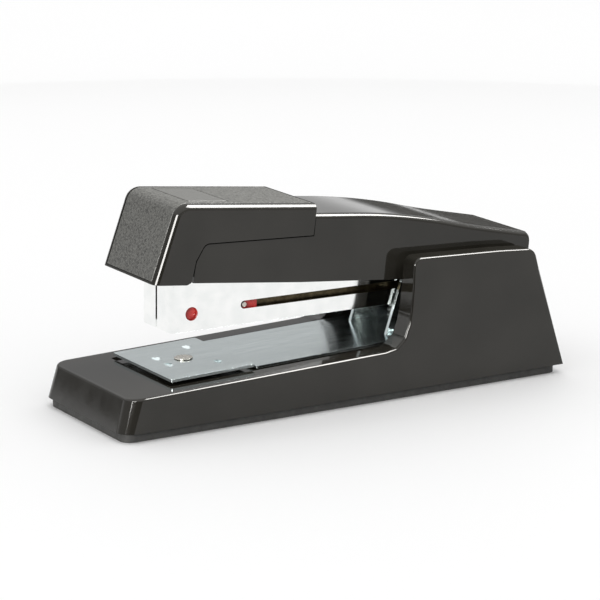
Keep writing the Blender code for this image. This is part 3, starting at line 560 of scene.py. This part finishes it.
def floor_paint():
    recipe = Recipe("floor_paint", (0.96, 0.96, 0.96), 0.6)
    recipe.colour_from(recipe.cloud(0.004, 2), (0.955, 0.955, 0.955), (0.965, 0.965, 0.965))
    return recipe.material


FINISHES = {
    "gloss_black": gloss_black(),
    "black_vinyl": leather_vinyl("black_vinyl", 2.1, 0.07, (0.008, 0.008, 0.007), (0.070, 0.070, 0.065),
                                 0.40),
    "label_black": leather_vinyl("label_black", 3.6, 0.03, (0.032, 0.032, 0.030), (0.062, 0.062, 0.058),
                                 0.38),
    "rubber": rubber("rubber", (0.022, 0.022, 0.021)),
    "button_black": rubber("button_black", (0.030, 0.030, 0.030)),
    "chrome": chrome(),
    "plate_steel": brushed("plate_steel", (0.75, 0.825, 0.835), (0.80, 0.87, 0.88), 0.17, (0.04, 1, 1),
                           0.00015),
    "pin_steel": brushed("pin_steel", (0.50, 0.475, 0.43), (0.66, 0.635, 0.58), 0.27, (1, 0.3, 1)),
    "spring_steel": brushed("spring_steel", (0.34, 0.34, 0.33), (0.52, 0.52, 0.50), 0.24, (1, 1, 0.3)),
    "bronze_steel": bronze_steel(),
    "red_plastic": red_plastic(),
}
SLOTS = {entry["node"]: entry["material_slot"] for entry in frame["record"]["subparts"]}
BODY_OF = {node: body for body, members in frame["record"]["behaviour"]["bodies"].items() for node in members}


def stand_in(piece, node):
    """Makes a fine piece take a CAD node's place, body and finish."""
    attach(piece, BODY_OF[node])
    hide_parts(node)
    piece.data.materials.clear()
    piece.data.materials.append(FINISHES[SLOTS[node]])
    return piece


def keep_node(node, edge=0.0):
    """Keeps a CAD node, welded, with softened edges and its finish."""
    kept = NODES[node]
    kept.data.shade_smooth()
    kept.data.materials.clear()
    kept.data.materials.append(FINISHES[SLOTS[node]])
    weld = kept.modifiers.new("weld", "WELD")
    weld.merge_threshold = 1e-6
    if edge:
        bevel = kept.modifiers.new("edges", "BEVEL")
        bevel.width = edge
        bevel.segments = 2
        bevel.limit_method = "ANGLE"
        bevel.angle_limit = math.radians(35)
    split = kept.modifiers.new("sharp_edges", "EDGE_SPLIT")
    split.split_angle = math.radians(35)


# ---------------------------------------------------------------- base
def outer_edge(edge):
    return len(edge.link_faces) == 2 and edge.calc_face_angle() > math.radians(25) \
        and all(vert.co.z > SHELL_BOTTOM + 0.0005 for vert in edge.verts)


def front_corner(edge):
    low, high = sorted(vert.co.z for vert in edge.verts)
    return low < SHELL_BOTTOM + 0.0001 and high > 0.005 and max(vert.co.x for vert in edge.verts) < 0.01


def make_base_shell():
    corners = [(BASE_FRONT, SHELL_BOTTOM), (DECK_FRONT, DECK_FRONT_HEIGHT),
               (CHEEK_FOOT, deck_height(CHEEK_FOOT)), *DECK_TO_CHEEK, *CHEEK_TOP, *REAR_SLOPE]
    radii = [0.0] * len(corners)
    top_front = corners.index(CHEEK_TOP[0])
    top_rear = corners.index(CHEEK_TOP[2])
    radii[top_front], radii[top_rear] = CHEEK_CORNER_RADII
    shell = prism("shell_moulding", rounded(corners, radii, 8), (-BASE_HALF_WIDTH, BASE_HALF_WIDTH),
                  draft=SIDE_DRAFT,
                  soften=((front_corner, FRONT_CORNER_RADIUS, 10), (outer_edge, SHELL_EDGE_RADIUS, 6)))
    underside = deck_height(CHEEK_FOOT) - SHELL_WALL
    inner = BASE_HALF_WIDTH - SHELL_WALL - GAP
    front = DECK_FRONT + SHELL_WALL
    roof_rear, foot_rear = HOLLOW_REAR
    below = -0.001
    section = [(BASE_FRONT + SHELL_WALL, below), (front, deck_height(front) - RECESS_LIP),
               (roof_rear, underside + SHELL_WALL / 2), (foot_rear, below)]
    hollow = prism("hollow", section, (-inner, inner))
    low, high = CHEEK_POCKET
    pockets = [prism("pocket_left", CHEEK_POCKET_OUTLINE, (-high, -low)),
               prism("pocket_right", CHEEK_POCKET_OUTLINE, (low, high))]
    near, wide = CHEEK_INNER, RECESS_HALF_WIDTH
    start, neck, end = (x - ANVIL_X for x in (RECESS_FRONT, CHEEK_FOOT + 0.002, WELL[1] + GAP))
    recess = [(start, -wide), (neck, -wide), (neck, -near), (end, -near),
              (end, near), (neck, near), (neck, wide), (start, wide)]
    channel = slab("channel", rounded(recess, [0.0006, 0, 0, 0, 0, 0, 0, 0.0006]), -RECESS_DEPTH, 0.04, DECK)
    well_half = near - GAP / 2
    well = prism("well", rectangle((WELL[0], 0.004), (WELL[1], 0.03)), (-well_half, well_half))
    notch_half = near - GAP
    opening = rectangle((WELL[1] - 0.0027, REAR_WALL_HEIGHT), (0.14, 0.05))
    notch = prism("notch", opening, (-notch_half, notch_half))
    boss = turned("boss", disc(BOSS_RADIUS, -BOSS_DEPTH, 0.0004), DECK)
    bore = turned("bore", disc(POST_RADIUS + GAP, -PAST, PAST), DECK)
    cut(shell, notch, well, hollow, channel, *pockets)
    add(shell, boss)
    cut(shell, bore)
    return stand_in(settle(shell, 0.00018), "base_shell")


def make_foot():
    low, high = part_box("rubber_foot")
    front, rear = low[0] - DATUM, high[0] - DATUM
    radii = [FOOT_CORNER_RADIUS] * 4
    foot = slab("foot_rubber", rounded(rectangle((front, low[1]), (rear, high[1])), radii), 0, FOOT_HEIGHT)
    plug = rounded(rectangle((front + FOOT_PLUG_END, low[1] + FOOT_PLUG_SIDE),
                             (rear - FOOT_PLUG_END, high[1] - FOOT_PLUG_SIDE)), radii)
    add(foot, slab("plug", plug, 0.001, FOOT_PLUG_HEIGHT))
    button = DECK @ Vector((0, 0, -0.010))
    cut(foot, slab("button_hole", circle((button.x - DATUM, 0), BUTTON_HOLE_RADIUS), -0.001, 0.006))
    wide, long = GROOVE_HALF
    for index in range(GROOVES):
        x = GROOVE_START + GROOVE_PITCH * index
        groove = rounded(rectangle((x - wide, -long), (x + wide, long)), [0.00058] * 4, 5)
        cut(foot, slab(f"groove_{index}", groove, -0.001, 0.0004))
    return stand_in(settle(foot, 0.0003), "rubber_foot")


def rivet_places():
    places = []
    for index in range(1, 5):
        low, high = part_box(f"bracket_rivet_{index}")
        places.append((Vector(low) + Vector(high)) / 2)
    return places


def make_bracket():
    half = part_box("pivot_bracket")[1][1]
    plan = rounded(rectangle((PLATE[0] - ANVIL_X, -half), (PLATE[1] - ANVIL_X, half)),
                   [SHEET_CORNER_RADIUS] * 4, 5)
    plate = slab("bracket_pressing", plan, PLATE_TOP - SHEET, PLATE_TOP, DECK)
    outline = rounded(EAR_OUTLINE, [0, 0, 0.003, 0.0040, 0.0035, 0])
    for side, across in (("left", (-EAR[1], -EAR[0])), ("right", EAR)):
        add(plate, prism(f"ear_{side}", outline, across))
    cut(plate, prism("ear_holes", circle((PIVOT_X, PIVOT.z), PIN_RADIUS + GAP), (-0.02, 0.02)))
    for index, place in enumerate(rivet_places()):
        hole = disc(RIVET_RADIUS, -0.003, 0.003)
        cut(plate, turned(f"rivet_hole_{index}", hole, Matrix.Translation(place), 32))
    return stand_in(settle(plate, 0.00026), "pivot_bracket")


def make_anvil():
    low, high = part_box("anvil_plate")
    half_wide = high[1]
    half_long = (high[0] - low[0]) / 2
    plan = rounded(rectangle((-half_long, -half_wide), (half_long, half_wide)), [0.0006] * 4, 5)
    plate = slab("anvil_pressing", plan, ANVIL_TOP - SHEET, ANVIL_TOP, DECK)
    cut(plate, slab("post_bore", circle((0, 0), POST_RADIUS + GAP), -0.005, 0.005, DECK))
    radius, half = POCKET_RADIUS, POCKET_HALF_WIDTH
    surface, floor_half = radius - POCKET_DEPTH, half * 0.45
    profile = [(0, -floor_half), (surface, -half), (radius, -floor_half),
               (radius, floor_half), (surface, half), (0, floor_half)]
    places = [(x, side * y) for x, y in POCKETS for side in (-1, 1)]
    for index, (x, y) in enumerate(places):
        place = DECK @ Matrix.Translation((x, y, ANVIL_TOP + surface)) @ ALONG
        cut(plate, turned(f"trough_{index}", profile, place, 220))
    return stand_in(settle(plate, 0.00030, 4), "anvil_plate")


def make_post():
    head, dome = POST_HEAD
    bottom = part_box("anvil_post")[0][2] - deck_height(ANVIL_X) + 0.00005
    shoulder = ANVIL_TOP + 0.00012
    crown = [(head * math.sin(angle), shoulder + dome * (0.45 + 0.55 * math.cos(angle)))
             for angle in (math.radians(9 * step) for step in range(10))]
    profile = [*crown, (head, shoulder), (POST_RADIUS, shoulder), (POST_RADIUS, bottom), (0, bottom)]
    post = turned("post_head", profile, DECK, 96)
    dimple = turned("dimple", [(0, 0), (0.0011, 0), (0, -0.00012)],
                    DECK @ Matrix.Translation((0, 0, shoulder + dome)), 64)
    cut(post, dimple)
    return stand_in(settle(post, 0.00005), "anvil_post")


def make_rivets():
    for index in range(1, 5):
        keep_node(f"bracket_rivet_{index}", 0.00018)


# ---------------------------------------------------------------- springs
def make_springs():
    """Coils where the frame has them. Two have a one-way stroke and get a mesh of their own."""
    for node, (radius, wire, turns) in SPRINGS.items():
        low, high = (Vector(corner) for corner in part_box(node))
        centre = (low + high) / 2
        place = Matrix.Translation((centre.x, 0, low.z))
        spring = stand_in(coil(f"{node}_wire", radius, wire, high.z - low.z, turns, place), node)
        if node == "anvil_spring":
            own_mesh(spring)
    low, high = (Vector(corner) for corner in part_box("pusher_spring"))
    start = MAGAZINE.inverted() @ Vector((low.x, 0, (low.z + high.z) / 2))
    length = (high.x - low.x) * 0.9985
    radius, wire, turns = PUSHER_SPRING
    place = MAGAZINE @ Matrix.Translation((start.x + 0.0001, 0, ROD_HEIGHT)) @ ALONG
    wound = coil("pusher_spring_wire", radius, wire, length, turns, place, 20, 8)
    spring = stand_in(wound, "pusher_spring")
    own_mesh(spring)


# ---------------------------------------------------------------- magazine
def on_magazine(x):
    return x - PIVOT_X


def sheet_corner(edge):
    ends = [vert.co for vert in edge.verts]
    ahead = all(end.x < on_magazine(MAGAZINE_FRONT) + 1e-5 for end in ends)
    return ahead and abs(ends[0].z - ends[1].z) > 0.005


def sheet_fold(edge):
    ends = [vert.co for vert in edge.verts]
    under = all(end.z < MAGAZINE_BOTTOM + 1e-5 for end in ends)
    return under and abs(ends[0].x - ends[1].x) > 0.02


def make_channel():
    front, tail = on_magazine(MAGAZINE_FRONT), MAGAZINE_TAIL
    bottom, top, half = MAGAZINE_BOTTOM, MAGAZINE_TOP, MAGAZINE_HALF_WIDTH
    tail_radius = MAGAZINE_TAIL_RADIUS
    outline = rounded(rectangle((front, bottom), (tail, top)), [0, tail_radius, tail_radius, 0])
    channel = prism("magazine_pressing", outline, (-half, half), MAGAZINE,
                    soften=((sheet_corner, MAGAZINE_BEND_RADIUS, 7), (sheet_fold, MAGAZINE_FOLD_RADIUS, 5)))
    wall = MAGAZINE_WALL
    across = (wall - half, half - wall)
    inside = prism("inside", rectangle((front + wall, bottom + wall), (tail + PAST, top + PAST)), across,
                   MAGAZINE)
    exit_rear = on_magazine(RAIL[0]) + GAP
    exit_gap = prism("staple_exit", rectangle((front + wall, bottom - PAST), (exit_rear, bottom + 0.002)),
                     across, MAGAZINE)
    slit = prism("front_slit", rectangle((front - PAST, bottom - PAST), (front + 0.001, top + PAST)),
                 (-SLIT_HALF_WIDTH, SLIT_HALF_WIDTH), MAGAZINE)
    low, high = (on_magazine(x) for x in SLOT)
    slot_outline = rounded(rectangle((low, SLOT_HEIGHT - SLOT_RADIUS), (high, SLOT_HEIGHT + SLOT_RADIUS)),
                           [SLOT_RADIUS * 0.98] * 4, 8)
    slot = prism("slots", slot_outline, (-PAST, PAST), MAGAZINE)
    window_outline = circle((on_magazine(WINDOW[0]), WINDOW[1]), WINDOW_RADIUS)
    window = prism("windows", window_outline, (-PAST, PAST), MAGAZINE)
    pivot = prism("pivot_holes", circle((0, 0), PIN_RADIUS + GAP), (-PAST, PAST), MAGAZINE)
    cut(channel, inside, exit_gap, slit, slot, window, pivot)
    return stand_in(settle(channel, 0.00011), "magazine_channel")


def make_rail():
    front, rear = (on_magazine(x) for x in RAIL)
    floor = MAGAZINE_BOTTOM + MAGAZINE_WALL + GAP
    half, wall = RAIL_HALF_WIDTH, MAGAZINE_WALL
    rail = prism("rail_pressing", rectangle((front, floor), (rear, RAIL_TOP)), (-half, half), MAGAZINE)
    inside = prism("rail_inside", rectangle((front + wall, floor - PAST), (rear - wall, RAIL_TOP - wall)),
                   (-half + wall, half - wall), MAGAZINE)
    end_wall, slit_half = 0.0012, 0.0013
    slit = prism("rail_slit", rectangle((front + end_wall, floor), (rear - end_wall, RAIL_TOP + PAST)),
                 (-slit_half, slit_half), MAGAZINE)
    eye = turned("rod_eyes", disc(ROD_RADIUS + GAP, front - PAST, rear + PAST), ON_ROD, 40)
    cut(rail, inside, slit, eye)
    return stand_in(settle(rail, 0.00022, 3), "staple_rail")


def make_pusher():
    front, rear = (on_magazine(x) for x in PUSHER)
    half = PUSHER_HALF_WIDTH
    section = rectangle((front, PUSHER_BOTTOM), (rear, PUSHER_TOP))
    saddle = prism("pusher_moulding", section, (-half, half), MAGAZINE)
    passage = RAIL_HALF_WIDTH + GAP
    cut(saddle, prism("passage", rectangle((front - PAST, -PAST), (rear + PAST, RAIL_TOP + GAP)),
                      (-passage, passage), MAGAZINE))
    nose, heel = (front + x for x in PUSHER_BLOCK)
    web_half, block_half = PUSHER_WEB_HALF_WIDTH, PUSHER_BLOCK_HALF_WIDTH
    web = prism("web", rectangle((nose, -0.0012), (heel, RAIL_TOP + 0.0008)), (-web_half, web_half), MAGAZINE)
    block = prism("block", rectangle((nose, PUSHER_BOTTOM + 0.0002), (heel, -0.0010)),
                  (-block_half, block_half), MAGAZINE)
    add(saddle, web, block)
    cut(saddle, turned("rod_bore", disc(ROD_RADIUS + GAP, nose - PAST, heel + PAST), ON_ROD, 40))
    stud_hole = circle((on_magazine(STUD_X), SLOT_HEIGHT), STUD_RADIUS + 0.0002, 24)
    cut(saddle, prism("stud_holes", stud_hole, (-PAST, PAST), MAGAZINE))
    length, depth = GRIP_SIZE
    for index in range(GRIPS):
        x = front + GRIP_START + GRIP_PITCH * index
        grip = rectangle((x, PUSHER_TOP - depth), (x + length, PAST))
        cut(saddle, prism(f"grip_{index}", grip, (-GRIP_HALF_WIDTH, GRIP_HALF_WIDTH), MAGAZINE))
    return stand_in(settle(saddle, 0.00018), "pusher")


# ---------------------------------------------------------------- handle
def cap_line(drop):
    """The cap's flat top, lowered by drop, from behind the brow to the heel."""
    return [(CAP_BROW[0], CAP_BROW[1] - drop), (CAP_HEEL[0], CAP_HEEL[1] - drop)]


def is_rim(half, low=0.0):
    """Edges between the outline's faces and a side face at this half width, above a height."""
    def choose(edge):
        ends = [vert.co for vert in edge.verts]
        one_side = abs(abs(ends[0].y) - half) < 1e-6 and abs(ends[0].y - ends[1].y) < 1e-6
        return one_side and all(end.z > low for end in ends) and edge.calc_face_angle() > math.radians(40)
    return choose


def cap_upper_rim(edge):
    middle = (edge.verts[0].co + edge.verts[1].co) / 2
    ahead = middle.x < height_on([(0.035, 0.0125), (0.058, 0.0205)], middle.z)
    above = middle.z > height_on(cap_line(0.0024), middle.x)
    return is_rim(CAP_HALF_WIDTH)(edge) and (ahead or above)


def cap_path(drop, steps=10):
    """The cap's front and top surface in side view, lowered by drop, from chin to heel."""
    chin, brow, heel = Vector(CAP_FRONT), Vector(CAP_BROW), Vector(CAP_HEEL)
    front = (brow - chin).normalized()
    back = (heel - brow).normalized()
    inward = Vector((front.y, -front.x))
    down = Vector((back.y, -back.x))
    corner = brow + (inward + down) * (drop / (1 + inward.dot(down)))
    radius = max(BROW_RADIUS - drop, 0.0005)
    path = [chin + inward * drop + front * 0.0006, corner, heel + down * drop - back * 0.0004]
    return rounded([*path, (0.03, 0.02)], [0, radius, 0, 0], steps)[:-1]


def pad_band(deep, shallow):
    return [*cap_path(shallow), *reversed(cap_path(deep))]


def make_cap():
    corners = [CAP_FRONT, CAP_BROW, CAP_HEEL, *reversed(CAP_SKIRT)]
    radii = [0, BROW_RADIUS, 0, 0, 0.0020, 0.0020, 0.0008, 0.0008]
    cap = prism("cap_moulding", rounded(corners, radii), (-CAP_HALF_WIDTH, CAP_HALF_WIDTH),
                soften=((cap_upper_rim, CAP_EDGE_RADIUS, 7),))
    wall = CAP_WALL
    lean = (CAP_BROW[0] - CAP_FRONT[0]) / (CAP_BROW[1] - CAP_FRONT[1])
    foot = (CAP_FRONT[0] + wall - PAST * lean, CAP_FRONT[1] - PAST)
    top = cap_line(wall)
    inner = [foot, (CAP_BROW[0] + wall, top[0][1]), (0.07, 0.0492), (0.07, 0.02)]
    half = CAP_HALF_WIDTH - CAP_SIDE_WALL
    cut(cap, prism("cap_inside", rounded(inner, [0, 0.0025, 0, 0]), (-half, half)))
    reach = PAD_HALF_WIDTH + 0.0002
    cut(cap, prism("pad_recess", pad_band(PAD_THICKNESS + GAP, -0.002), (-reach, reach)))
    return stand_in(settle(cap, 0.00012), "head_cap")


def grain_height(point):
    """Leather grain: small domed cells with sunken lines between them."""
    distances = noise.voronoi(point * 1900, distance_metric="DISTANCE", exponent=2.5)[0]
    valley = min((distances[1] - distances[0]) / 0.35, 1.0)
    return valley * (0.75 + 0.5 * noise.noise(point * 700))


def make_pad():
    """The vinyl band over the cap's front and top, with its grain in the surface."""
    path = [Vector((x, 0, z)) for x, z in cap_path(0.0, 14)]
    fine = []
    spacing = 0.00019
    for start, end in zip(path, path[1:]):
        count = max(1, round((end - start).length / spacing))
        fine += [start.lerp(end, step / count) for step in range(count)]
    fine.append(path[-1])
    half = PAD_HALF_WIDTH
    columns = round(2 * half / spacing)
    edge, relief = 0.00025, 0.00009
    bm = bmesh.new()
    top_rows = []
    low_rows = []
    for index, point in enumerate(fine):
        before, after = fine[max(index - 1, 0)], fine[min(index + 1, len(fine) - 1)]
        tangent = (after - before).normalized()
        normal = Vector((-tangent.z, 0, tangent.x))
        from_end = min(index, len(fine) - 1 - index) * spacing
        top_row = []
        for column in range(columns + 1):
            y = -half + 2 * half * column / columns
            inset = min(from_end, half - abs(y))
            fall = edge * (1 - math.sqrt(max(0.0, 1 - (1 - min(inset / edge, 1)) ** 2)))
            here = point + Vector((0, y, 0))
            sink = relief * (1 - grain_height(here)) * min(inset / edge, 1)
            top_row.append(bm.verts.new(here - normal * (fall + max(sink, 0))))
        top_rows.append(top_row)
        low_rows.append([bm.verts.new(point + Vector((0, y, 0)) - normal * PAD_THICKNESS)
                         for y in (-half, half)])
    for row, after in zip(top_rows, top_rows[1:]):
        for column in range(columns):
            bm.faces.new((row[column], row[column + 1], after[column + 1], after[column]))
    for index in range(len(fine) - 1):
        low, after = low_rows[index], low_rows[index + 1]
        bm.faces.new((low[0], after[0], after[1], low[1]))
        bm.faces.new((top_rows[index][0], top_rows[index + 1][0], after[0], low[0]))
        bm.faces.new((top_rows[index + 1][-1], top_rows[index][-1], low[1], after[1]))
    for row, low in ((top_rows[0], low_rows[0]), (top_rows[-1], low_rows[-1])):
        bm.faces.new([*row, low[1], low[0]])
    pad = place_mesh("grip_vinyl", bm, SIDE)
    front, rear = LABEL
    hole = rectangle((front, 0.05), (rear, 0.06))
    cut(pad, prism("label_hole", hole, (-LABEL_HALF_WIDTH, LABEL_HALF_WIDTH)))
    return stand_in(settle(pad, 0, angle=50), "grip_pad")


def make_label():
    front, rear = LABEL
    top = cap_line(0)
    outline = []
    for x, drop in ((front + GAP, 0.0), (rear - GAP, 0.0),
                    (rear - GAP, PAD_THICKNESS), (front + GAP, PAD_THICKNESS)):
        outline.append((x, height_on(top, x) - drop))
    half = LABEL_HALF_WIDTH - GAP
    return stand_in(settle(prism("label_insert", outline, (-half, half)), 0.00015, 3), "label_plate")


def make_cover():
    under_cap = [(x, z - GAP) for x, z in cap_line(CAP_WALL)]
    front_top = (0.0262, height_on(under_cap, 0.0262))
    rear_top = (CAP_REAR - GAP, height_on(under_cap, CAP_REAR - GAP))
    top = smooth(COVER_TOP)
    edge = [Vector(point) for point in COVER_EDGE]
    outline = [edge[0], Vector(front_top), Vector(rear_top), *top, *map(Vector, reversed(COVER_BELLY)),
               *reversed(edge[1:])]
    half = COVER_HALF_WIDTH

    def rim(edge):
        middle = (edge.verts[0].co + edge.verts[1].co) / 2
        return is_rim(half, 0.033)(edge) and middle.x > CAP_REAR - 0.001 \
            and middle.z > height_on([(0.05, 0.046), (0.123, 0.0340), (0.13, 0.0340)], middle.x)

    cover = prism("cover_moulding", outline, (-half, half), soften=((rim, 0.0015, 6),))
    wall = COVER_WALL
    tongue = CAP_HALF_WIDTH - CAP_SIDE_WALL - GAP
    inner_top = [(x, z - wall) for x, z in top[8:-4]]
    hollow = [(0.0200, 0.0200), (0.0200, height_on(under_cap, 0.02) - wall),
              (CAP_REAR + 0.0015, rear_top[1] - wall - 0.0008), *inner_top, (0.1232, 0.0361),
              (0.1232, 0.0200)]
    narrow = tongue - 0.0013
    wide_hollow = [(0.0265, 0.0200), (0.0265, 0.0425), (0.0575, 0.0415), (0.0610, 0.0480 - wall),
                   *inner_top, (0.1232, 0.0361), (0.1232, 0.0200)]
    wide = half - 0.0014
    cut(cover, prism("cover_inside", hollow, (-narrow, narrow)),
        prism("cover_sides", wide_hollow, (-wide, wide)))
    low = [(CAP_SKIRT[2][0] + GAP, CAP_SKIRT[2][1] - GAP), (CAP_SKIRT[3][0] + 0.0002, CAP_SKIRT[3][1] - GAP),
           (CAP_SKIRT[4][0] + GAP, CAP_SKIRT[4][1] - GAP)]
    lead = (CAP_SKIRT[1][0] + GAP, 0.0300)
    skirt = rounded([(0.01, 0.03), lead, (CAP_SKIRT[1][0] + GAP, CAP_SKIRT[1][1]), *low,
                     (CAP_REAR + GAP, 0.0530), (0.01, 0.07)], [0, 0, 0, 0.002, 0.002, 0, 0, 0])
    for side, across in (("left", (-0.02, -tongue)), ("right", (tongue, 0.02))):
        cut(cover, prism(f"skirt_{side}", skirt, across))
    return stand_in(settle(cover, 0.00014), "handle_cover")


# ---------------------------------------------------------------- studio
def make_softbox(name, size, radiance, distance, toward, shown_on):
    """A rectangular lamp that shines on the stapler alone, so the floor stays even."""
    light = bpy.data.lights.new(name, "AREA")
    light.shape = "RECTANGLE"
    light.size, light.size_y = size
    light.energy = math.pi * size[0] * size[1] * radiance
    light.color = (1.0, 0.985, 0.95)
    lamp = bpy.data.objects.new(name, light)
    direction = Vector(toward).normalized()
    lamp.location = Vector((0, 0, 0.03)) + direction * distance
    lamp.rotation_euler = (-direction).to_track_quat("-Z", "Y").to_euler()
    lamp.light_linking.receiver_collection = shown_on
    bpy.context.scene.collection.objects.link(lamp)


def make_flag(name, radius, start, end, height):
    """A curved dark card that stands on the floor and that only reflections see."""
    bm = bmesh.new()
    rows = []
    steps = 12
    for step in range(steps + 1):
        angle = math.radians(start + (end - start) * step / steps)
        out = Vector((math.cos(angle), math.sin(angle), 0)) * radius
        rows.append([bm.verts.new(out + Vector((0, 0, level))) for level in (0.001, height)])
    for row, after in zip(rows, rows[1:]):
        bm.faces.new((row[0], after[0], after[1], row[1]))
    card = place_mesh(name, bm, Matrix.Identity(4))
    card.data.materials.append(FINISHES["rubber"])
    card.visible_camera = False
    card.visible_diffuse = False
    card.visible_shadow = False


def make_world():
    """White overhead, grey lower down, and a thin bright band just above a dark horizon."""
    world = bpy.data.worlds.new("studio")
    world.use_nodes = True
    tree = world.node_tree
    background = tree.nodes["Background"]
    place = tree.nodes.new("ShaderNodeTexCoord")
    parts = tree.nodes.new("ShaderNodeSeparateXYZ")
    ramp = tree.nodes.new("ShaderNodeValToRGB")
    tree.links.new(place.outputs["Generated"], parts.inputs["Vector"])
    tree.links.new(parts.outputs["Z"], ramp.inputs["Fac"])
    tree.links.new(ramp.outputs["Color"], background.inputs["Color"])
    stops = ((0.0, 0.12), (0.015, 0.24), (0.035, 0.85), (0.065, 0.82), (0.12, 0.40), (0.34, 0.36),
             (0.55, 0.95), (1.0, 1.0))
    elements = ramp.color_ramp.elements
    while len(elements) < len(stops):
        elements.new(0.5)
    for element, (position, value) in zip(elements, stops):
        element.position = position
        element.color = (value, value, value, 1.0)
    background.inputs["Strength"].default_value = 1.25
    bpy.context.scene.world = world


def make_studio():
    scene = bpy.context.scene
    scene.view_settings.view_transform = "Standard"
    make_world()
    bm = bmesh.new()
    bmesh.ops.create_grid(bm, x_segments=8, y_segments=8, size=3.0)
    floor = place_mesh("studio_floor", bm, Matrix.Identity(4))
    floor.data.materials.append(floor_paint())
    lit = bpy.data.collections.new("lit_by_softboxes")
    lit.objects.link(floor)
    lit.collection_objects[0].light_linking.link_state = "EXCLUDE"
    make_softbox("left_softbox", (0.30, 0.22), 30, 0.7, (-0.79, -0.54, 0.29), lit)
    make_flag("front_flag", 0.26, 205, 260, 0.075)
    make_flag("rear_flag", 0.50, 25, 95, 0.046)
    make_softbox("top_softbox", (0.50, 0.34), 28, 0.7, (0.51, -0.22, 0.80), lit)


def make_camera():
    azimuth, elevation = math.radians(31.6764), math.radians(13.8506)
    camera = bpy.data.objects.new("camera", bpy.data.cameras.new("camera"))
    camera.location = (-0.369987, -0.595290, 0.196366)
    forward = Vector((math.sin(azimuth) * math.cos(elevation), math.cos(azimuth) * math.cos(elevation),
                      -math.sin(elevation)))
    roll = Quaternion((0, 0, 1), math.radians(0.227))
    camera.rotation_euler = (forward.to_track_quat("-Z", "Y") @ roll).to_euler()
    camera.data.sensor_width = 36
    camera.data.lens = 167.36
    camera.data.clip_start = 0.01
    bpy.context.scene.collection.objects.link(camera)
    bpy.context.scene.camera = camera


# ---------------------------------------------------------------- assembly
KEPT_EDGES = {
    "pivot_pin": 0.00025,
    "pivot_push_nut": 0.0001,
    "anvil_button": 0.0003,
    "guide_rod": 0.0002,
    "rod_clip": 0.0001,
    "spring_seat": 0.00012,
    "pusher_stud_left": 0.0001,
    "pusher_stud_right": 0.0001,
    "handle_frame": 0.00012,
    "driver_blade": 0.00008,
    "driver_rivet_left": 0.00015,
    "driver_rivet_right": 0.00015,
}

make_camera()
make_studio()
make_base_shell()
make_foot()
make_bracket()
make_rivets()
make_anvil()
make_post()
make_springs()
make_channel()
make_rail()
make_pusher()
make_cap()
make_pad()
make_label()
make_cover()
for node, edge in KEPT_EDGES.items():
    keep_node(node, edge)
